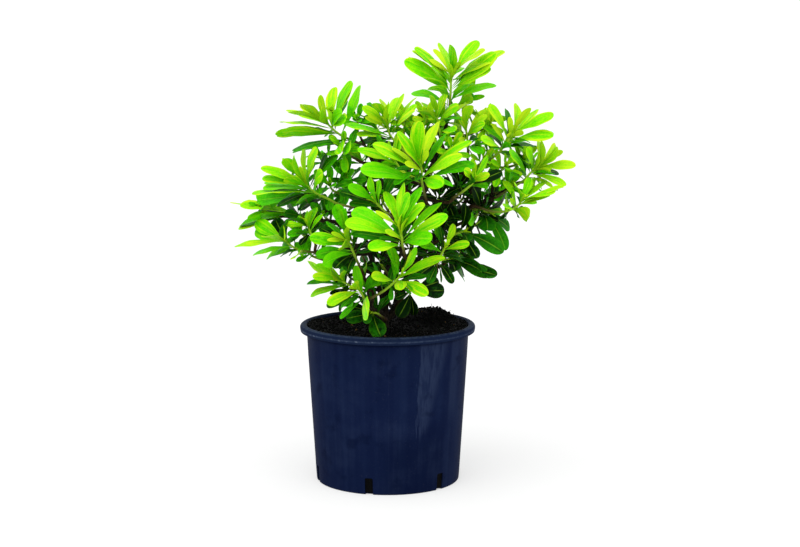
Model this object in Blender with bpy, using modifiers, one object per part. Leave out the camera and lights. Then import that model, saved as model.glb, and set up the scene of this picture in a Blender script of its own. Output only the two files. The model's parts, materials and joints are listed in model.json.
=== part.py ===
"""A young Japanese pittosporum in a plastic nursery pot.

The pot's floor rests on Z = 0 round the origin, +Z is up and the front faces -Y. Driving sizes are in
millimetres, and every length is turned to metres by MM where it is used.
"""

import math
import random

import bmesh
import bpy
from mathutils import Vector
from mathutils.bvhtree import BVHTree

MM = 0.001
GAP = 0.3  # between pieces that touch

# Pot
POT_HEIGHT = 235.0
POT_FOOT_RADIUS = 106.5
POT_NECK_RADIUS = 120.5
POT_RIM_RADIUS = 130.0
POT_WALL = 1.8
POT_FLOOR = 2.4
RIM_DROP = 11.0
RIM_WALL = 2.2
RIM_ROOF = 4.6  # from the rim's top down to the roof of the hook under it
LIP_FLARE = 1.6  # how far the inner wall leans out, at LIP_DEPTH below the top
LIP_DEPTH = 3.5
LIP_REACH = 5.0  # and at the top
RIM_ROUND = 2.4
RIM_CROWN = 1.2
RIM_SHOULDER = 5.5
RIM_TAPER = 0.7
HOOK_TAPER = 1.2
FOOT_ROUND = 3.0
SHARP_EDGE = 32.0
TURN_STEPS = 32
SLOT_COUNT = 6
SLOT_WIDTH = 12.0
SLOT_HEIGHT = 25.0
SLOT_DEPTH = 7.0
SLOT_FIRST_TURN = -104.5  # degrees from +X

# Soil
SOIL_TOP = 223.0
SOIL_SWELL = 3.0
SOIL_BOWL = 9.0  # how far it rises from the middle to the wall
SOIL_RINGS = (0.3, 0.6, 0.8, 0.93, 1.0)  # of the way out to the wall
CREST = 0.93  # past this the soil falls to BRIM, the highest it lies against the wall
BRIM = 233.0
MOUND = 3.6  # round the trunk
MOUND_SPREAD = 34.0
HEAP = 12.5  # at the back on the right
HEAP_X = 74.0
HEAP_Y = 82.0
HEAP_SPREAD = 40.0
ROOT_DEPTH = 50.0
HOLE_CLEARANCE = 0.7

# Blades
BLADE_THICKNESS = 1.2
ROOT_HALF_WIDTH = 0.7
ROOT_THICKNESS = 0.7
WIDTH_SHARE = 0.28  # of the blade's length
YOUNG_WIDTH_SHARE = 0.19
ARCH = 0.11  # how far the midrib's control point stands off, as a share of the length
FULL_ARCH = 1.0  # most blades take all of it; a drooping one takes less, or bulges downwards
STATIONS = ((0.0, 0.0), (0.24, 0.24), (0.7, 1.05), (0.98, 0.58))  # share of the length, and of the half width
YOUNG_STATIONS = ((0.0, 0.0), (0.62, 1.0), (1.0, None))
YOUNG_AGE = 0.6
YOUNG_SHARE = 0.6  # of a full blade's length
BENDS = (0, 8, -8, 16, -16, 25, -25, 36, -36, 48, -48, 62, -62)  # tried in turn, until a blade is clear
CLEARANCE = 0.45
FREE_FROM = 3  # a blade may touch its own shoot up to this vertex, the end of its first stretch
LOWEST_FOOT = 0.92  # a blade leaves a stretch of its stem no lower than this share of it
LEAST_LEAN = 0.2  # below this a blade runs along its stem, and faces up
LEAST_SLANT = 0.45  # out of the elevation's plane, as a share of the length seen
INTERNODE = 2.0  # blades leave a stem at least this far apart
FACING = 0.45  # how far the near whorls lean to the front
GOLDEN_TURN = math.radians(137.508)
REFERENCE = Vector((0.31, 0.95, 0.1))  # turns round a stem are counted from square to this

# Blades on the side of a near shoot that the elevation doesn't show: degrees from the stem, length, distance
# back from the tip, and the least share of their way that points to the far side.
HIDDEN_TILT = (48.0, 82.0)
HIDDEN_LENGTH = (40.0, 54.0)
HIDDEN_BACK = (3.0, 16.0)
HIDDEN_AWAY = 0.62
FAR_AGE = 1.6

# Stems
STEM_BASE_RADIUS = 1.9
STEM_TIP_RADIUS = 1.5
THICK_LIMB = 5.0
TWIG_RADIUS = 2.2
TWIG_BASE_RADIUS = 3.0
TWIG_SHARE = 0.8  # of the limb's radius, for a twig's base
SPOT_SHARES = (0.0, 0.33, 0.67, 1.0)  # where a twig may leave a stretch of a limb
LOWEST_TWIG = 236.0
LEAST_RISE = 4.0
TWIG_CLIMB = 0.7
CLIMB_COST = 25.0
ELBOW_SHARE = 0.4  # of a twig's reach: its last stretch runs straight on into the shoot's stem
ELBOW_REACH = 14.0
FIRST_BACK = 1.6  # the first blade leaves the stem this far below its tip

# The shoots at the front and the sides are laid out on an elevation, the plane y = 0 as seen from VIEWPOINT.
# Each reading (x, z) there is carried along its sight line to its own depth.
VIEWPOINT = Vector((0.0183, -2.62, 0.69))

# Each shoot: its stem from the twig to the tip as (x, z), the depth y at both ends, the length of a full blade,
# the number of blades that a rule adds on the far side, and its blades as (x, z, side, width seen, distance back
# from the tip, age), with the share of the full arch where it isn't 1. Side -1 points to the front and 1 to the
# back. Age runs from 0, a yellow blade just out, over 1, lime, and 2, green, to 3, dark.
SHOOTS = {
    "front": {
        "stem": [(24, 342), (22, 352), (21, 362), (17, 378)], "depth": (-150, -170), "reach": 74, "far": 1,
        "blades": [
            (-52, 402, 1, 20, 4, 1.3), (-63, 383, -1, 13, 4, 0.8), (-18, 401, -1, 6, 0, 0.2),
            (-1, 430, 1, 15, 0, 1.0), (24, 443, 1, 13, 0, 1.4), (49, 437, 1, 10, 0, 1.6),
            (33, 427, -1, 10, 0, 1.1), (55, 410, -1, 11, 0, 0.7), (79, 414, 1, 11, 4, 1.3),
            (89, 394, -1, 16, 8, 0.9), (66, 361, -1, 18, 14, 1.0), (-28, 345, -1, 14, 18, 1.3),
            (-52, 369, 1, 15, 12, 2.2), (-45, 340, 1, 10, 18, 2.6), (20, 396, -1, 5, 0, 0.0),
            (30, 392, -1, 5, 0, 0.2), (-4, 372, -1, 6, 4, 0.4),
        ],
    },
    "front_high": {
        "stem": [(55, 424), (52, 436), (50, 450), (50, 462), (47, 472)], "depth": (-96, -120),
        "reach": 78, "far": 1,
        "blades": [
            (14, 517, -1, 14, 2, 1.0), (38, 530, 1, 13, 0, 1.2), (49, 533, -1, 17, 0, 1.0),
            (48, 512, -1, 6, 0, 0.0), (75, 533, 1, 15, 0, 0.8), (85, 515, 1, 9, 6, 2.0),
            (122, 505, 1, 12, 6, 1.2), (110, 482, -1, 13, 8, 0.8), (127, 472, 1, 14, 22, 1.5),
            (81, 438, -1, 20, 20, 1.0), (-40, 462, -1, 18, 22, 1.2), (-33, 468, 1, 6, 10, 0.2),
            (-22, 499, -1, 12, 4, 1.0), (6, 494, -1, 6, 2, 0.0), (25, 472, -1, 6, 2, 0.0),
            (60, 489, -1, 6, 0, 0.0), (78, 500, 1, 10, 3, 2.8),
        ],
    },
    "low_middle": {
        "stem": [(-22, 273), (-10, 280), (0, 287), (10, 296), (18, 304)], "depth": (-118, -130),
        "reach": 60, "far": 1,
        "blades": [
            (2, 351, 1, 14, 0, 1.0), (43, 347, 1, 10, 0, 1.0), (85, 331, -1, 15, 0, 0.9),
            (60, 277, -1, 17, 4, 1.0), (20, 284, -1, 16, 2, 0.6), (-24, 304, -1, 10, 4, 1.0),
            (-38, 289, 1, 13, 10, 1.6), (60, 306, 1, 9, 6, 2.5),
        ],
    },
    "low_left_front": {
        "stem": [(-32, 266), (-36, 274), (-42, 284)], "depth": (-98, -110), "reach": 56, "far": 1,
        "blades": [
            (-90, 263, -1, 15, 0, 0.8), (-70, 270, 1, 9, 3, 1.8), (-52, 292, -1, 16, 0, 0.6),
            (-31, 322, 1, 10, 0, 1.1), (-29, 245, -1, 15, 18, 1.0),
        ],
    },
    "right_mid_low": {
        "stem": [(72, 320), (78, 334), (84, 346)], "depth": (-66, -76), "reach": 44, "far": 1,
        "blades": [
            (98, 382, 1, 9, 0, 1.0), (121, 353, -1, 11, 0, 1.0), (47, 354, 1, 11, 4, 1.6),
            (97, 294, -1, 12, 24, 2.4), (62, 330, 1, 10, 10, 2.8), (76, 382, 1, 9, 0, 2.6),
        ],
    },
    "low_left": {
        "stem": [(-34, 284), (-52, 289), (-68, 298)], "depth": (-74, -80), "reach": 52, "far": 2,
        "blades": [
            (-118, 327, 1, 10, 2, 1.0), (-111, 303, -1, 12, 0, 0.7), (-119, 294, 1, 5, 8, 2.3),
            (-84, 313, -1, 9, 0, 0.8), (-60, 316, -1, 9, 0, 1.0), (-95, 320, 1, 6, 0, 1.4),
            (-114, 276, 1, 10, 8, 1.0), (-84, 268, 1, 10, 20, 2.8),
        ],
    },
    "middle_left": {
        "stem": [(-40, 316), (-47, 332), (-53, 346), (-60, 361)], "depth": (-94, -100), "reach": 62, "far": 1,
        "blades": [
            (-77, 411, -1, 18, 0, 1.5), (-63, 404, 1, 11, 0, 2.0), (-68, 348, -1, 16, 6, 1.0),
            (-89, 358, -1, 5, 0, 0.0), (-83, 369, -1, 5, 0, 0.0), (-88, 386, 1, 10, 0, 1.8),
            (-115, 362, -1, 18, 4, 1.4), (-54, 382, -1, 8, 0, 0.9), (-96, 322, -1, 20, 18, 1.8),
            (-106, 336, 1, 16, 14, 2.0), (-78, 316, -1, 14, 24, 3.0), (-59, 312, -1, 13, 30, 3.0),
            (-100, 377, 1, 12, 6, 3.0), (-20, 352, 1, 10, 16, 3.0),
        ],
    },
    "right_low": {
        "stem": [(140, 405), (155, 401), (172, 401), (185, 405), (193, 411), (197, 417)], "depth": (-28, -42),
        "reach": 60, "far": 2,
        "blades": [
            (259, 437, -1, 8, 4, 0.8), (247, 430, -1, 6, 0, 1.0), (239, 424, -1, 10, 2, 1.0),
            (206, 390, -1, 14, 18, 0.8), (171, 447, 1, 9, 2, 1.0), (187, 440, -1, 7, 0, 1.0),
            (217, 449, 1, 10, 0, 1.0), (180, 419, -1, 6, 4, 0.5), (188, 412, 1, 14, 26, 3.0),
            (207, 398, 1, 9, 12, 3.0), (232, 446, 1, 7, 0, 1.0), (167, 394, 1, 7, 24, 3.0),
        ],
    },
    "left_up": {
        "stem": [(-50, 407), (-60, 409), (-75, 413), (-88, 420), (-105, 428), (-117, 438), (-122, 445)],
        "depth": (-26, -32), "reach": 66, "far": 2,
        "blades": [
            (-186, 464, -1, 12, 4, 1.0), (-151, 479, 1, 11, 0, 0.6), (-138, 481, -1, 9, 0, 1.0),
            (-121, 501, 1, 9, 0, 1.0), (-103, 495, -1, 10, 0, 1.0), (-156, 457, -1, 6, 0, 0.0),
            (-150, 450, -1, 12, 4, 1.0), (-128, 468, -1, 6, 0, 0.0), (-95, 459, -1, 9, 10, 1.0),
            (-87, 489, 1, 6, 14, 3.0), (-180, 444, 1, 10, 8, 1.5), (-183, 434, -1, 7, 12, 1.5),
            (-199, 426, -1, 9, 14, 1.0), (-192, 417, 1, 18, 20, 2.2, 0.2), (-133, 414, -1, 6, 24, 1.5),
            (-127, 404, 1, 9, 42, 3.0),
        ],
    },
    "crown": {
        "stem": [(90, 548), (92, 575), (93, 602)], "depth": (8, 10), "reach": 74, "far": 4,
        "blades": [
            (24, 620, -1, 20, 14, 1.0), (31, 627, 1, 7, 4, 1.0), (39, 639, -1, 12, 2, 1.0),
            (61, 622, -1, 7, 0, 0.0), (67, 638, 1, 6, 0, 0.0), (77, 646, 1, 13, 0, 1.0),
            (95, 642, -1, 13, 0, 1.5), (131, 653, 1, 15, 0, 1.0), (145, 632, 1, 6, 4, 1.0),
            (158, 632, -1, 18, 10, 1.0, -0.1), (169, 636, 1, 15, 6, 1.2), (151, 609, -1, 14, 20, 1.0),
            (158, 586, 1, 13, 38, 1.9), (122, 588, -1, 10, 42, 1.8), (62, 583, -1, 12, 27, 1.5),
            (36, 575, 1, 11, 46, 1.9), (62, 612, 1, 14, 18, 1.9), (55, 596, -1, 10, 22, 1.5),
            (92, 616, -1, 6, 0, 0.0), (106, 620, -1, 6, 0, 0.3),
        ],
    },
    "upper_left": {
        "stem": [(-38, 500), (-62, 510), (-75, 518), (-88, 530)], "depth": (4, 10), "reach": 72, "far": 3,
        "blades": [
            (-164, 516, -1, 16, 24, 1.0, 0.2), (-121, 515, 1, 9, 19, 3.0), (-157, 532, 1, 6, 5, 1.0),
            (-145, 546, -1, 9, 0, 1.0), (-124, 556, 1, 13, 0, 1.0), (-98, 572, -1, 10, 0, 0.5),
            (-77, 583, 1, 17, 2, 1.0), (-50, 589, -1, 9, 8, 1.0), (-40, 586, 1, 14, 26, 1.0, -0.6),
            (-60, 562, 1, 12, 12, 3.0), (-96, 551, -1, 12, 0, 1.0), (-68, 487, -1, 7, 34, 1.4),
            (-57, 488, -1, 11, 42, 1.5), (-48, 519, 1, 9, 52, 2.5), (-138, 489, 1, 9, 54, 2.5),
        ],
    },
    "right_top": {
        "stem": [(143, 468), (152, 478), (165, 490), (175, 503), (184, 516)], "depth": (-14, -20),
        "reach": 64, "far": 3,
        "blades": [
            (147, 557, -1, 10, 2, 1.0), (173, 551, 1, 8, 2, 3.0), (189, 558, 1, 11, 0, 1.0),
            (209, 553, -1, 9, 0, 0.5), (219, 551, 1, 7, 2, 1.0), (243, 543, -1, 12, 0, 1.0),
            (242, 517, 1, 14, 16, 2.0), (175, 514, -1, 8, 0, 0.0), (199, 518, -1, 8, 0, 0.2),
            (153, 529, -1, 6, 4, 0.0), (135, 531, 1, 12, 10, 2.0), (178, 540, -1, 7, 0, 0.5),
            (137, 506, -1, 8, 26, 1.0), (216, 497, 1, 8, 20, 3.0), (148, 514, 1, 10, 22, 3.0),
            (196, 478, 1, 9, 36, 2.4),
        ],
    },
    "right": {
        "stem": [(160, 422), (178, 433), (200, 447), (210, 458), (222, 466)], "depth": (-8, -12),
        "reach": 60, "far": 3,
        "blades": [
            (250, 493, -1, 12, 0, 1.0), (221, 505, 1, 9, 0, 1.0), (276, 468, -1, 13, 0, 0.7),
            (250, 459, 1, 9, 18, 3.0), (239, 460, -1, 6, 0, 0.0), (241, 477, -1, 5, 0, 0.5),
            (222, 486, -1, 5, 0, 0.5), (193, 496, 1, 6, 8, 1.5), (203, 494, -1, 6, 6, 1.5),
            (190, 486, 1, 9, 24, 3.0), (178, 490, -1, 10, 22, 1.5), (172, 404, -1, 6, 62, 1.0),
            (172, 470, 1, 7, 44, 2.2),
        ],
    },
    "top_left": {
        "stem": [(45, 470), (32, 483), (15, 500), (3, 515), (0, 533)], "depth": (-10, -20),
        "reach": 60, "far": 2,
        "blades": [
            (-37, 553, -1, 12, 2, 1.0), (-33, 539, -1, 6, 2, 0.0), (-29, 560, 1, 8, 4, 2.5),
            (-19, 560, -1, 12, 0, 1.0), (-8, 564, 1, 8, 0, 1.0), (0, 558, -1, 7, 0, 1.0),
            (14, 568, 1, 14, 0, 1.0), (24, 574, 1, 6, 2, 1.0), (42, 568, 1, 5, 4, 1.0),
            (43, 557, -1, 8, 14, 1.5), (40, 548, -1, 6, 10, 1.0), (-62, 528, -1, 10, 14, 1.5),
            (-45, 513, -1, 6, 22, 1.0), (-9, 541, -1, 5, 0, 0.0), (-35, 503, 1, 10, 26, 3.0),
            (-14, 490, 1, 10, 34, 3.0),
        ],
    },
    "left_low": {
        "stem": [(-105, 340), (-128, 343), (-142, 350), (-150, 357)], "depth": (-34, -42),
        "reach": 68, "far": 2,
        "blades": [
            (-226, 348, -1, 9, 0, 0.8), (-198, 337, 1, 9, 10, 1.5), (-177, 333, 1, 8, 26, 1.3),
            (-137, 332, -1, 5, 36, 0.6), (-131, 338, -1, 12, 34, 1.5), (-195, 373, 1, 20, 0, 1.6),
            (-165, 390, 1, 20, 0, 2.8), (-183, 363, -1, 9, 0, 1.0), (-152, 376, -1, 7, 0, 0.6),
        ],
    },
    "right_sprig": {
        "stem": [(98, 422), (110, 430), (122, 440), (128, 448)], "depth": (-70, -82), "reach": 40, "far": 1,
        "blades": [
            (112, 462, -1, 10, 0, 1.0), (125, 478, 1, 8, 0, 1.0), (147, 483, 1, 8, 0, 1.5),
            (150, 455, -1, 11, 0, 1.0), (168, 460, 1, 14, 14, 3.0),
        ],
    },
    "left_small": {
        "stem": [(-106, 352), (-112, 364), (-117, 380)], "depth": (-66, -70), "reach": 36, "far": 1,
        "blades": [
            (-151, 381, -1, 7, 0, 1.2), (-130, 393, -1, 6, 0, 0.8), (-119, 401, 1, 6, 0, 1.2),
            (-111, 402, -1, 6, 0, 1.3), (-96, 397, 1, 6, 2, 1.3), (-129, 351, -1, 8, 12, 3.0),
        ],
    },
    "soil_front": {
        "stem": [(-9, 244), (-16, 249), (-23, 250)], "depth": (-50, -74), "reach": 52, "far": 0,
        "blades": [
            (-10, 214, -1, 24, 0, 2.4), (-62, 241, -1, 18, 3, 2.6), (-36, 236, -1, 16, 1, 3.0),
        ],
    },
    "soil_right": {
        "stem": [(22, 272), (30, 280), (36, 283)], "depth": (-20, -30), "reach": 44, "far": 0,
        "blades": [
            (16, 243, -1, 20, 0, 2.5), (38, 246, 1, 14, 2, 3.0), (84, 283, 1, 22, 0, 3.0),
        ],
    },
    "middle": {
        "stem": [(8, 392), (-6, 403), (-17, 414)], "depth": (-90, -96), "reach": 50, "far": 1,
        "blades": [
            (-58, 439, -1, 13, 0, 1.7), (-27, 452, 1, 10, 0, 1.6), (-56, 414, 1, 12, 2, 2.2),
            (-70, 430, 1, 12, 0, 3.0), (-10, 446, -1, 6, 0, 1.5), (14, 452, 1, 10, 2, 2.4),
        ],
    },
    "centre_left": {
        "stem": [(46, 444), (33, 453), (20, 463), (10, 476)], "depth": (-80, -84), "reach": 56, "far": 1,
        "blades": [
            (-44, 491, -1, 11, 2, 1.5), (-10, 470, -1, 9, 6, 1.5), (-16, 512, 1, 8, 0, 2.4),
            (14, 512, 1, 6, 0, 1.5), (2, 505, -1, 6, 0, 1.2),
        ],
    },
    "top_middle": {
        "stem": [(80, 500), (76, 520), (72, 540)], "depth": (-4, -12), "reach": 56, "far": 1,
        "blades": [
            (45, 548, -1, 9, 2, 1.5), (53, 560, 1, 9, 0, 1.0), (65, 570, -1, 9, 0, 1.0),
            (84, 574, 1, 10, 0, 1.0), (122, 561, 1, 6, 4, 0.5), (104, 556, -1, 10, 2, 1.5),
            (52, 512, 1, 10, 22, 2.6), (100, 520, -1, 8, 24, 1.6),
        ],
    },
    "top_right_inner": {
        "stem": [(118, 488), (117, 505), (115, 522)], "depth": (0, -10), "reach": 54, "far": 1,
        "blades": [
            (121, 557, -1, 14, 0, 1.0), (144, 552, 1, 9, 2, 1.0), (146, 541, -1, 9, 3, 1.0),
            (108, 541, -1, 6, 0, 0.5), (112, 560, 1, 8, 0, 1.0), (100, 548, 1, 8, 0, 1.0),
            (104, 505, -1, 6, 8, 0.2), (92, 532, 1, 4, 8, 0.6), (142, 529, -1, 8, 6, 1.5),
            (138, 486, -1, 10, 26, 2.0), (96, 486, 1, 9, 28, 2.6), (135, 508, 1, 10, 18, 2.4),
        ],
    },
    "left_dark": {
        "stem": [(-100, 388), (-120, 393), (-138, 398)], "depth": (16, 22), "reach": 70, "far": 2,
        "blades": [
            (-217, 380, 1, 9, 8, 2.4), (-203, 391, -1, 6, 0, 1.0), (-217, 409, -1, 13, 2, 0.9),
            (-188, 404, 1, 12, 0, 3.0), (-160, 376, 1, 10, 18, 3.0), (-150, 424, 1, 9, 4, 2.8),
            (-230, 414, 1, 6, 0, 0.7),
        ],
    },
    "dark_right_high": {
        "stem": [(118, 404), (134, 404), (148, 400)], "depth": (4, 2), "reach": 62, "far": 1,
        "blades": [
            (180, 376, 1, 14, 2, 2.4), (174, 343, -1, 18, 8, 2.2), (147, 373, -1, 24, 8, 2.7),
            (119, 384, -1, 8, 24, 1.8), (158, 452, 1, 12, 0, 3.0), (124, 440, -1, 14, 14, 3.0),
            (172, 424, 1, 10, 0, 3.0),
        ],
    },
    "dark_right_middle": {
        "stem": [(82, 360), (96, 366), (110, 371)], "depth": (-30, -34), "reach": 66, "far": 1,
        "blades": [
            (171, 340, -1, 22, 0, 2.5), (132, 331, -1, 14, 3, 2.5), (118, 356, -1, 16, 2, 3.0),
            (115, 412, -1, 14, 2, 3.0), (90, 410, 1, 16, 8, 3.0), (86, 384, -1, 14, 10, 3.0),
        ],
    },
    "dark_right_low": {
        "stem": [(58, 322), (76, 328), (94, 331)], "depth": (-20, -24), "reach": 66, "far": 1,
        "blades": [
            (162, 306, -1, 18, 2, 2.8, -0.4), (112, 300, 1, 10, 4, 2.4), (100, 312, -1, 20, 4, 3.0),
            (124, 342, 1, 14, 0, 2.8), (78, 362, 1, 14, 10, 3.0),
        ],
    },
}

# Shoots at the far side, by rule: the tip (x, y, z), the number of blades, their length and their age.
FAR_SHOOTS = {
    "far_crown": ((112, 62, 560), 8, 60, 1.3),
    "far_right_top": ((178, 84, 492), 8, 62, 1.5),
    "far_top": ((44, 100, 508), 8, 64, 1.5),
    "far_upper_left": ((-42, 92, 470), 8, 62, 1.6),
    "far_left": ((-112, 88, 418), 8, 62, 1.7),
    "far_right": ((152, 108, 420), 8, 62, 1.9),
    "far_middle": ((34, 146, 420), 8, 64, 2.0),
    "far_low_left": ((-56, 112, 344), 8, 60, 2.4),
    "far_low_right": ((96, 104, 342), 8, 60, 2.6),
    "far_low": ((8, 104, 300), 7, 54, 2.7),
}
FAR_STEM = 46.0
FAR_FIRST_TILT = 26.0
FAR_LAST_TILT = 96.0
FAR_TURN_STRAY = 0.2
FAR_LEAST_LENGTH = 0.82  # of the row's length, where chance makes a blade short
FAR_INNER_LENGTH = 0.72  # of it, for the topmost blade of a whorl
FAR_FIRST_BACK = 2.0
FAR_BACK_REACH = 20.0
FAR_MIDDLE = Vector((20.0, 5.0, 0.0))  # far stems lean away from here
FAR_SPREAD = 3.0
FAR_RISE = 220.0
FAR_FOOT_LEAN = 0.7
FAR_FOOT_RISE = Vector((0.0, 0.0, 0.3))

# Limbs as (x, y, z) with the radius at each point. The first stands in the soil.
LIMBS = {
    "main": [(-5, 1, 174, 7.4), (-5, 1, 236, 7.4), (-5, 2, 276, 6.4), (3, 6, 322, 5.4), (18, 9, 372, 4.8),
             (42, 11, 424, 4.0), (68, 11, 474, 3.3), (84, 9, 520, 2.6), (90, 8, 547, 2.1)],
    "second": [(-3, 3, 238, 5.4), (9, 6, 252, 5.4), (16, 8, 272, 5.0), (26, 11, 296, 4.6), (50, 14, 334, 4.2),
               (82, 12, 376, 3.6), (108, 2, 400, 3.2), (130, -6, 412, 2.8), (152, -8, 420, 2.4)],
    "left": [(-4, 2, 262, 5.0), (-14, -8, 296, 4.2), (-26, -18, 340, 3.4), (-36, -24, 378, 2.8),
             (-44, -26, 402, 2.4)],
    "low_front": [(-5, 0, 244, 4.0), (-11, -32, 256, 3.4), (-17, -62, 264, 2.8), (-23, -88, 270, 2.4)],
    "front": [(2, 4, 310, 4.2), (10, -40, 330, 3.6), (18, -92, 348, 2.9), (22, -132, 358, 2.3)],
    "front_high": [(40, 11, 420, 3.6), (48, -30, 424, 3.0), (54, -70, 430, 2.4)],
    "upper_left": [(17, 9, 370, 3.8), (2, 8, 418, 3.2), (-16, 6, 462, 2.6), (-30, 5, 490, 2.1)],
    "back": [(3, 6, 318, 4.2), (10, 40, 360, 3.6), (22, 74, 400, 3.0), (30, 92, 440, 2.4)],
    "right_up": [(106, 3, 399, 3.0), (122, -6, 430, 2.6), (136, -12, 456, 2.2)],
}


def at(x, z, depth):
    """The point that the elevation shows at (x, z), carried along its sight line to the depth y."""
    flat = Vector((x, 0.0, z)) * MM
    return flat + (VIEWPOINT - flat) * (depth * MM / VIEWPOINT.y)


def walk_back(path, distance):
    """The point that lies a distance back from the end of a path, and the way the path runs there."""
    for start, end in zip(path[-2::-1], path[:0:-1]):
        step = (end - start).length
        if distance <= step or start is path[0]:
            return end + (start - end) * min(distance / step, LOWEST_FOOT), (end - start).normalized()
        distance -= step


def stem_path(shoot):
    first, last = shoot["depth"]
    stops = len(shoot["stem"]) - 1
    return [at(x, z, first + (last - first) * i / stops) for i, (x, z) in enumerate(shoot["stem"])]


def natural_face(way, axis):
    """The way an upper side faces: towards the shoot's axis, square to the blade."""
    up = axis - way * way.dot(axis)
    if up.length < LEAST_LEAN:
        up = Vector((0.0, 0.0, 1.0)) - way * way.z
    return up.normalized()


def seen_face(base, tip, axis, width, seen):
    """The way the blade faces when its width, as the elevation shows it, is the one read there."""
    way = (tip - base).normalized()
    sight = (VIEWPOINT - (base + tip) / 2).normalized()
    towards = (sight - way * way.dot(sight)).normalized()
    across = way.cross(towards)
    turn = math.acos(min(1.0, seen / width))
    wanted = natural_face(way, axis)
    turns = (turn, -turn, math.pi - turn, math.pi + turn)
    return max((towards * math.cos(a) + across * math.sin(a) for a in turns), key=wanted.dot)


def read_blades(shoot, path):
    """Every blade read on the elevation, as a function of its bend."""
    tip_depth = shoot["depth"][1]
    backs = {}
    last = FIRST_BACK - INTERNODE
    for row in sorted(shoot["blades"], key=lambda row: row[4]):
        last = max(row[4], last + INTERNODE)
        backs[row] = last

    def blade(row, bend):
        x, z, side, seen, _, age, *arch = row
        base, axis = walk_back(path, backs[row] * MM)
        full = shoot["reach"] * (YOUNG_SHARE if age < YOUNG_AGE else 1.0) * MM
        flat = (at(x, z, base.y / MM) - base).length
        away = math.sqrt(max(full**2 - flat**2, (LEAST_SLANT * flat) ** 2))
        tip = at(x, z, base.y / MM + side * away / MM + bend)
        width = max(seen * MM, (YOUNG_WIDTH_SHARE if age < YOUNG_AGE else WIDTH_SHARE) * (tip - base).length)
        axis = (axis + Vector((0.0, -FACING, 0.0))).normalized()
        return base, tip, seen_face(base, tip, axis, width, seen * MM), axis, width / 2, age, *arch

    return [lambda bend, row=row: blade(row, bend) for row in shoot["blades"]]


def ruled_blade(path, turn, tilt, length, back, age, bend):
    """A blade of a whorl, by its turn round the stem, its tilt from the stem and its length. Bending lowers it."""
    base, axis = walk_back(path, back * MM)
    side = axis.cross(REFERENCE).normalized()
    out = side * math.cos(turn) + axis.cross(side) * math.sin(turn)
    tilt = math.radians(tilt + bend)
    way = axis * math.cos(tilt) + out * math.sin(tilt)
    return base, base + way * length * MM, natural_face(way, axis), axis, WIDTH_SHARE * length * MM / 2, age


def far_blades(name, shoot, path):
    """Blades on the side that the elevation doesn't show, to close the whorl."""
    draw = random.Random(name)
    made = []
    turn = draw.uniform(0, math.tau)
    while len(made) < shoot["far"]:
        turn += GOLDEN_TURN
        tilt = draw.uniform(*HIDDEN_TILT)
        length = draw.uniform(*HIDDEN_LENGTH)
        back = draw.uniform(*HIDDEN_BACK)
        row = (turn, tilt, length, back, FAR_AGE)
        base, tip, *_ = ruled_blade(path, *row, 0)
        if (tip - base).normalized().y > HIDDEN_AWAY:
            made.append(lambda bend, row=row: ruled_blade(path, *row, bend))
    return made


def whorl_blades(name, path, count, length, age):
    """A whole whorl by rule, upright in the middle and spreading lower down."""
    draw = random.Random(name)
    made = []
    for i in range(count):
        share = i / (count - 1)
        full = length * (FAR_INNER_LENGTH + (1 - FAR_INNER_LENGTH) * share)
        row = (
            i * GOLDEN_TURN + draw.uniform(-FAR_TURN_STRAY, FAR_TURN_STRAY),
            FAR_FIRST_TILT + (FAR_LAST_TILT - FAR_FIRST_TILT) * share,
            full * draw.uniform(FAR_LEAST_LENGTH, 1.0),
            FAR_FIRST_BACK + FAR_BACK_REACH * share,
            age,
        )
        made.append(lambda bend, row=row: ruled_blade(path, *row, bend))
    return made


def blade_mesh(base, tip, face, axis, half_width, age, arch=FULL_ARCH, margin=0.0):
    """The vertices and triangles of a blade, flat above and keeled below, lofted along an arched midrib."""
    way = tip - base
    length = way.length
    lean = natural_face(way.normalized(), axis)
    control = (base + tip) / 2 + lean * ARCH * arch * length
    points = []
    faces = [(0, 1, 2)]
    for share, fullness in YOUNG_STATIONS if age < YOUNG_AGE else STATIONS:
        middle = base * (1 - share) ** 2 + control * 2 * share * (1 - share) + tip * share**2
        along = ((control - base) * (1 - share) + (tip - control) * share).normalized()
        up = (face - along * along.dot(face)).normalized()
        side = along.cross(up)
        if share > 0.9:
            middle = middle + along * margin * MM
        if fullness is None:
            last = len(points)
            points.append(middle)
            faces += [(last - 3, last - 2, last), (last - 2, last - 1, last), (last - 1, last - 3, last)]
            return points, faces
        half = ROOT_HALF_WIDTH * MM + (half_width - ROOT_HALF_WIDTH * MM) * fullness + margin * MM
        rise = up * margin * MM
        keel = up * ((BLADE_THICKNESS if share > 0 else ROOT_THICKNESS) + margin) * MM
        points += [middle + side * half + rise, middle - side * half + rise, middle - keel]
        if share > 0:
            right, left, under = range(len(points) - 6, len(points) - 3)
            faces += [(right, left, left + 3), (right, left + 3, right + 3)]
            faces += [(right, under + 3, under), (right, right + 3, under + 3)]
            faces += [(left, under, under + 3), (left, under + 3, left + 3)]
    end = len(points) - 3
    faces.append((end, end + 2, end + 1))
    return points, faces


def mesh_object(name, points, faces):
    mesh = bpy.data.meshes.new(name)
    mesh.from_pydata([tuple(p) for p in points], [], faces)
    tidy = bmesh.new()
    tidy.from_mesh(mesh)
    bmesh.ops.recalc_face_normals(tidy, faces=tidy.faces)
    tidy.to_mesh(mesh)
    tidy.free()
    return bpy.data.objects.new(name, mesh)


def evaluated(holder):
    bpy.context.view_layer.update()
    graph = bpy.context.evaluated_depsgraph_get()
    return bpy.data.meshes.new_from_object(holder.evaluated_get(graph), depsgraph=graph)


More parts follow.
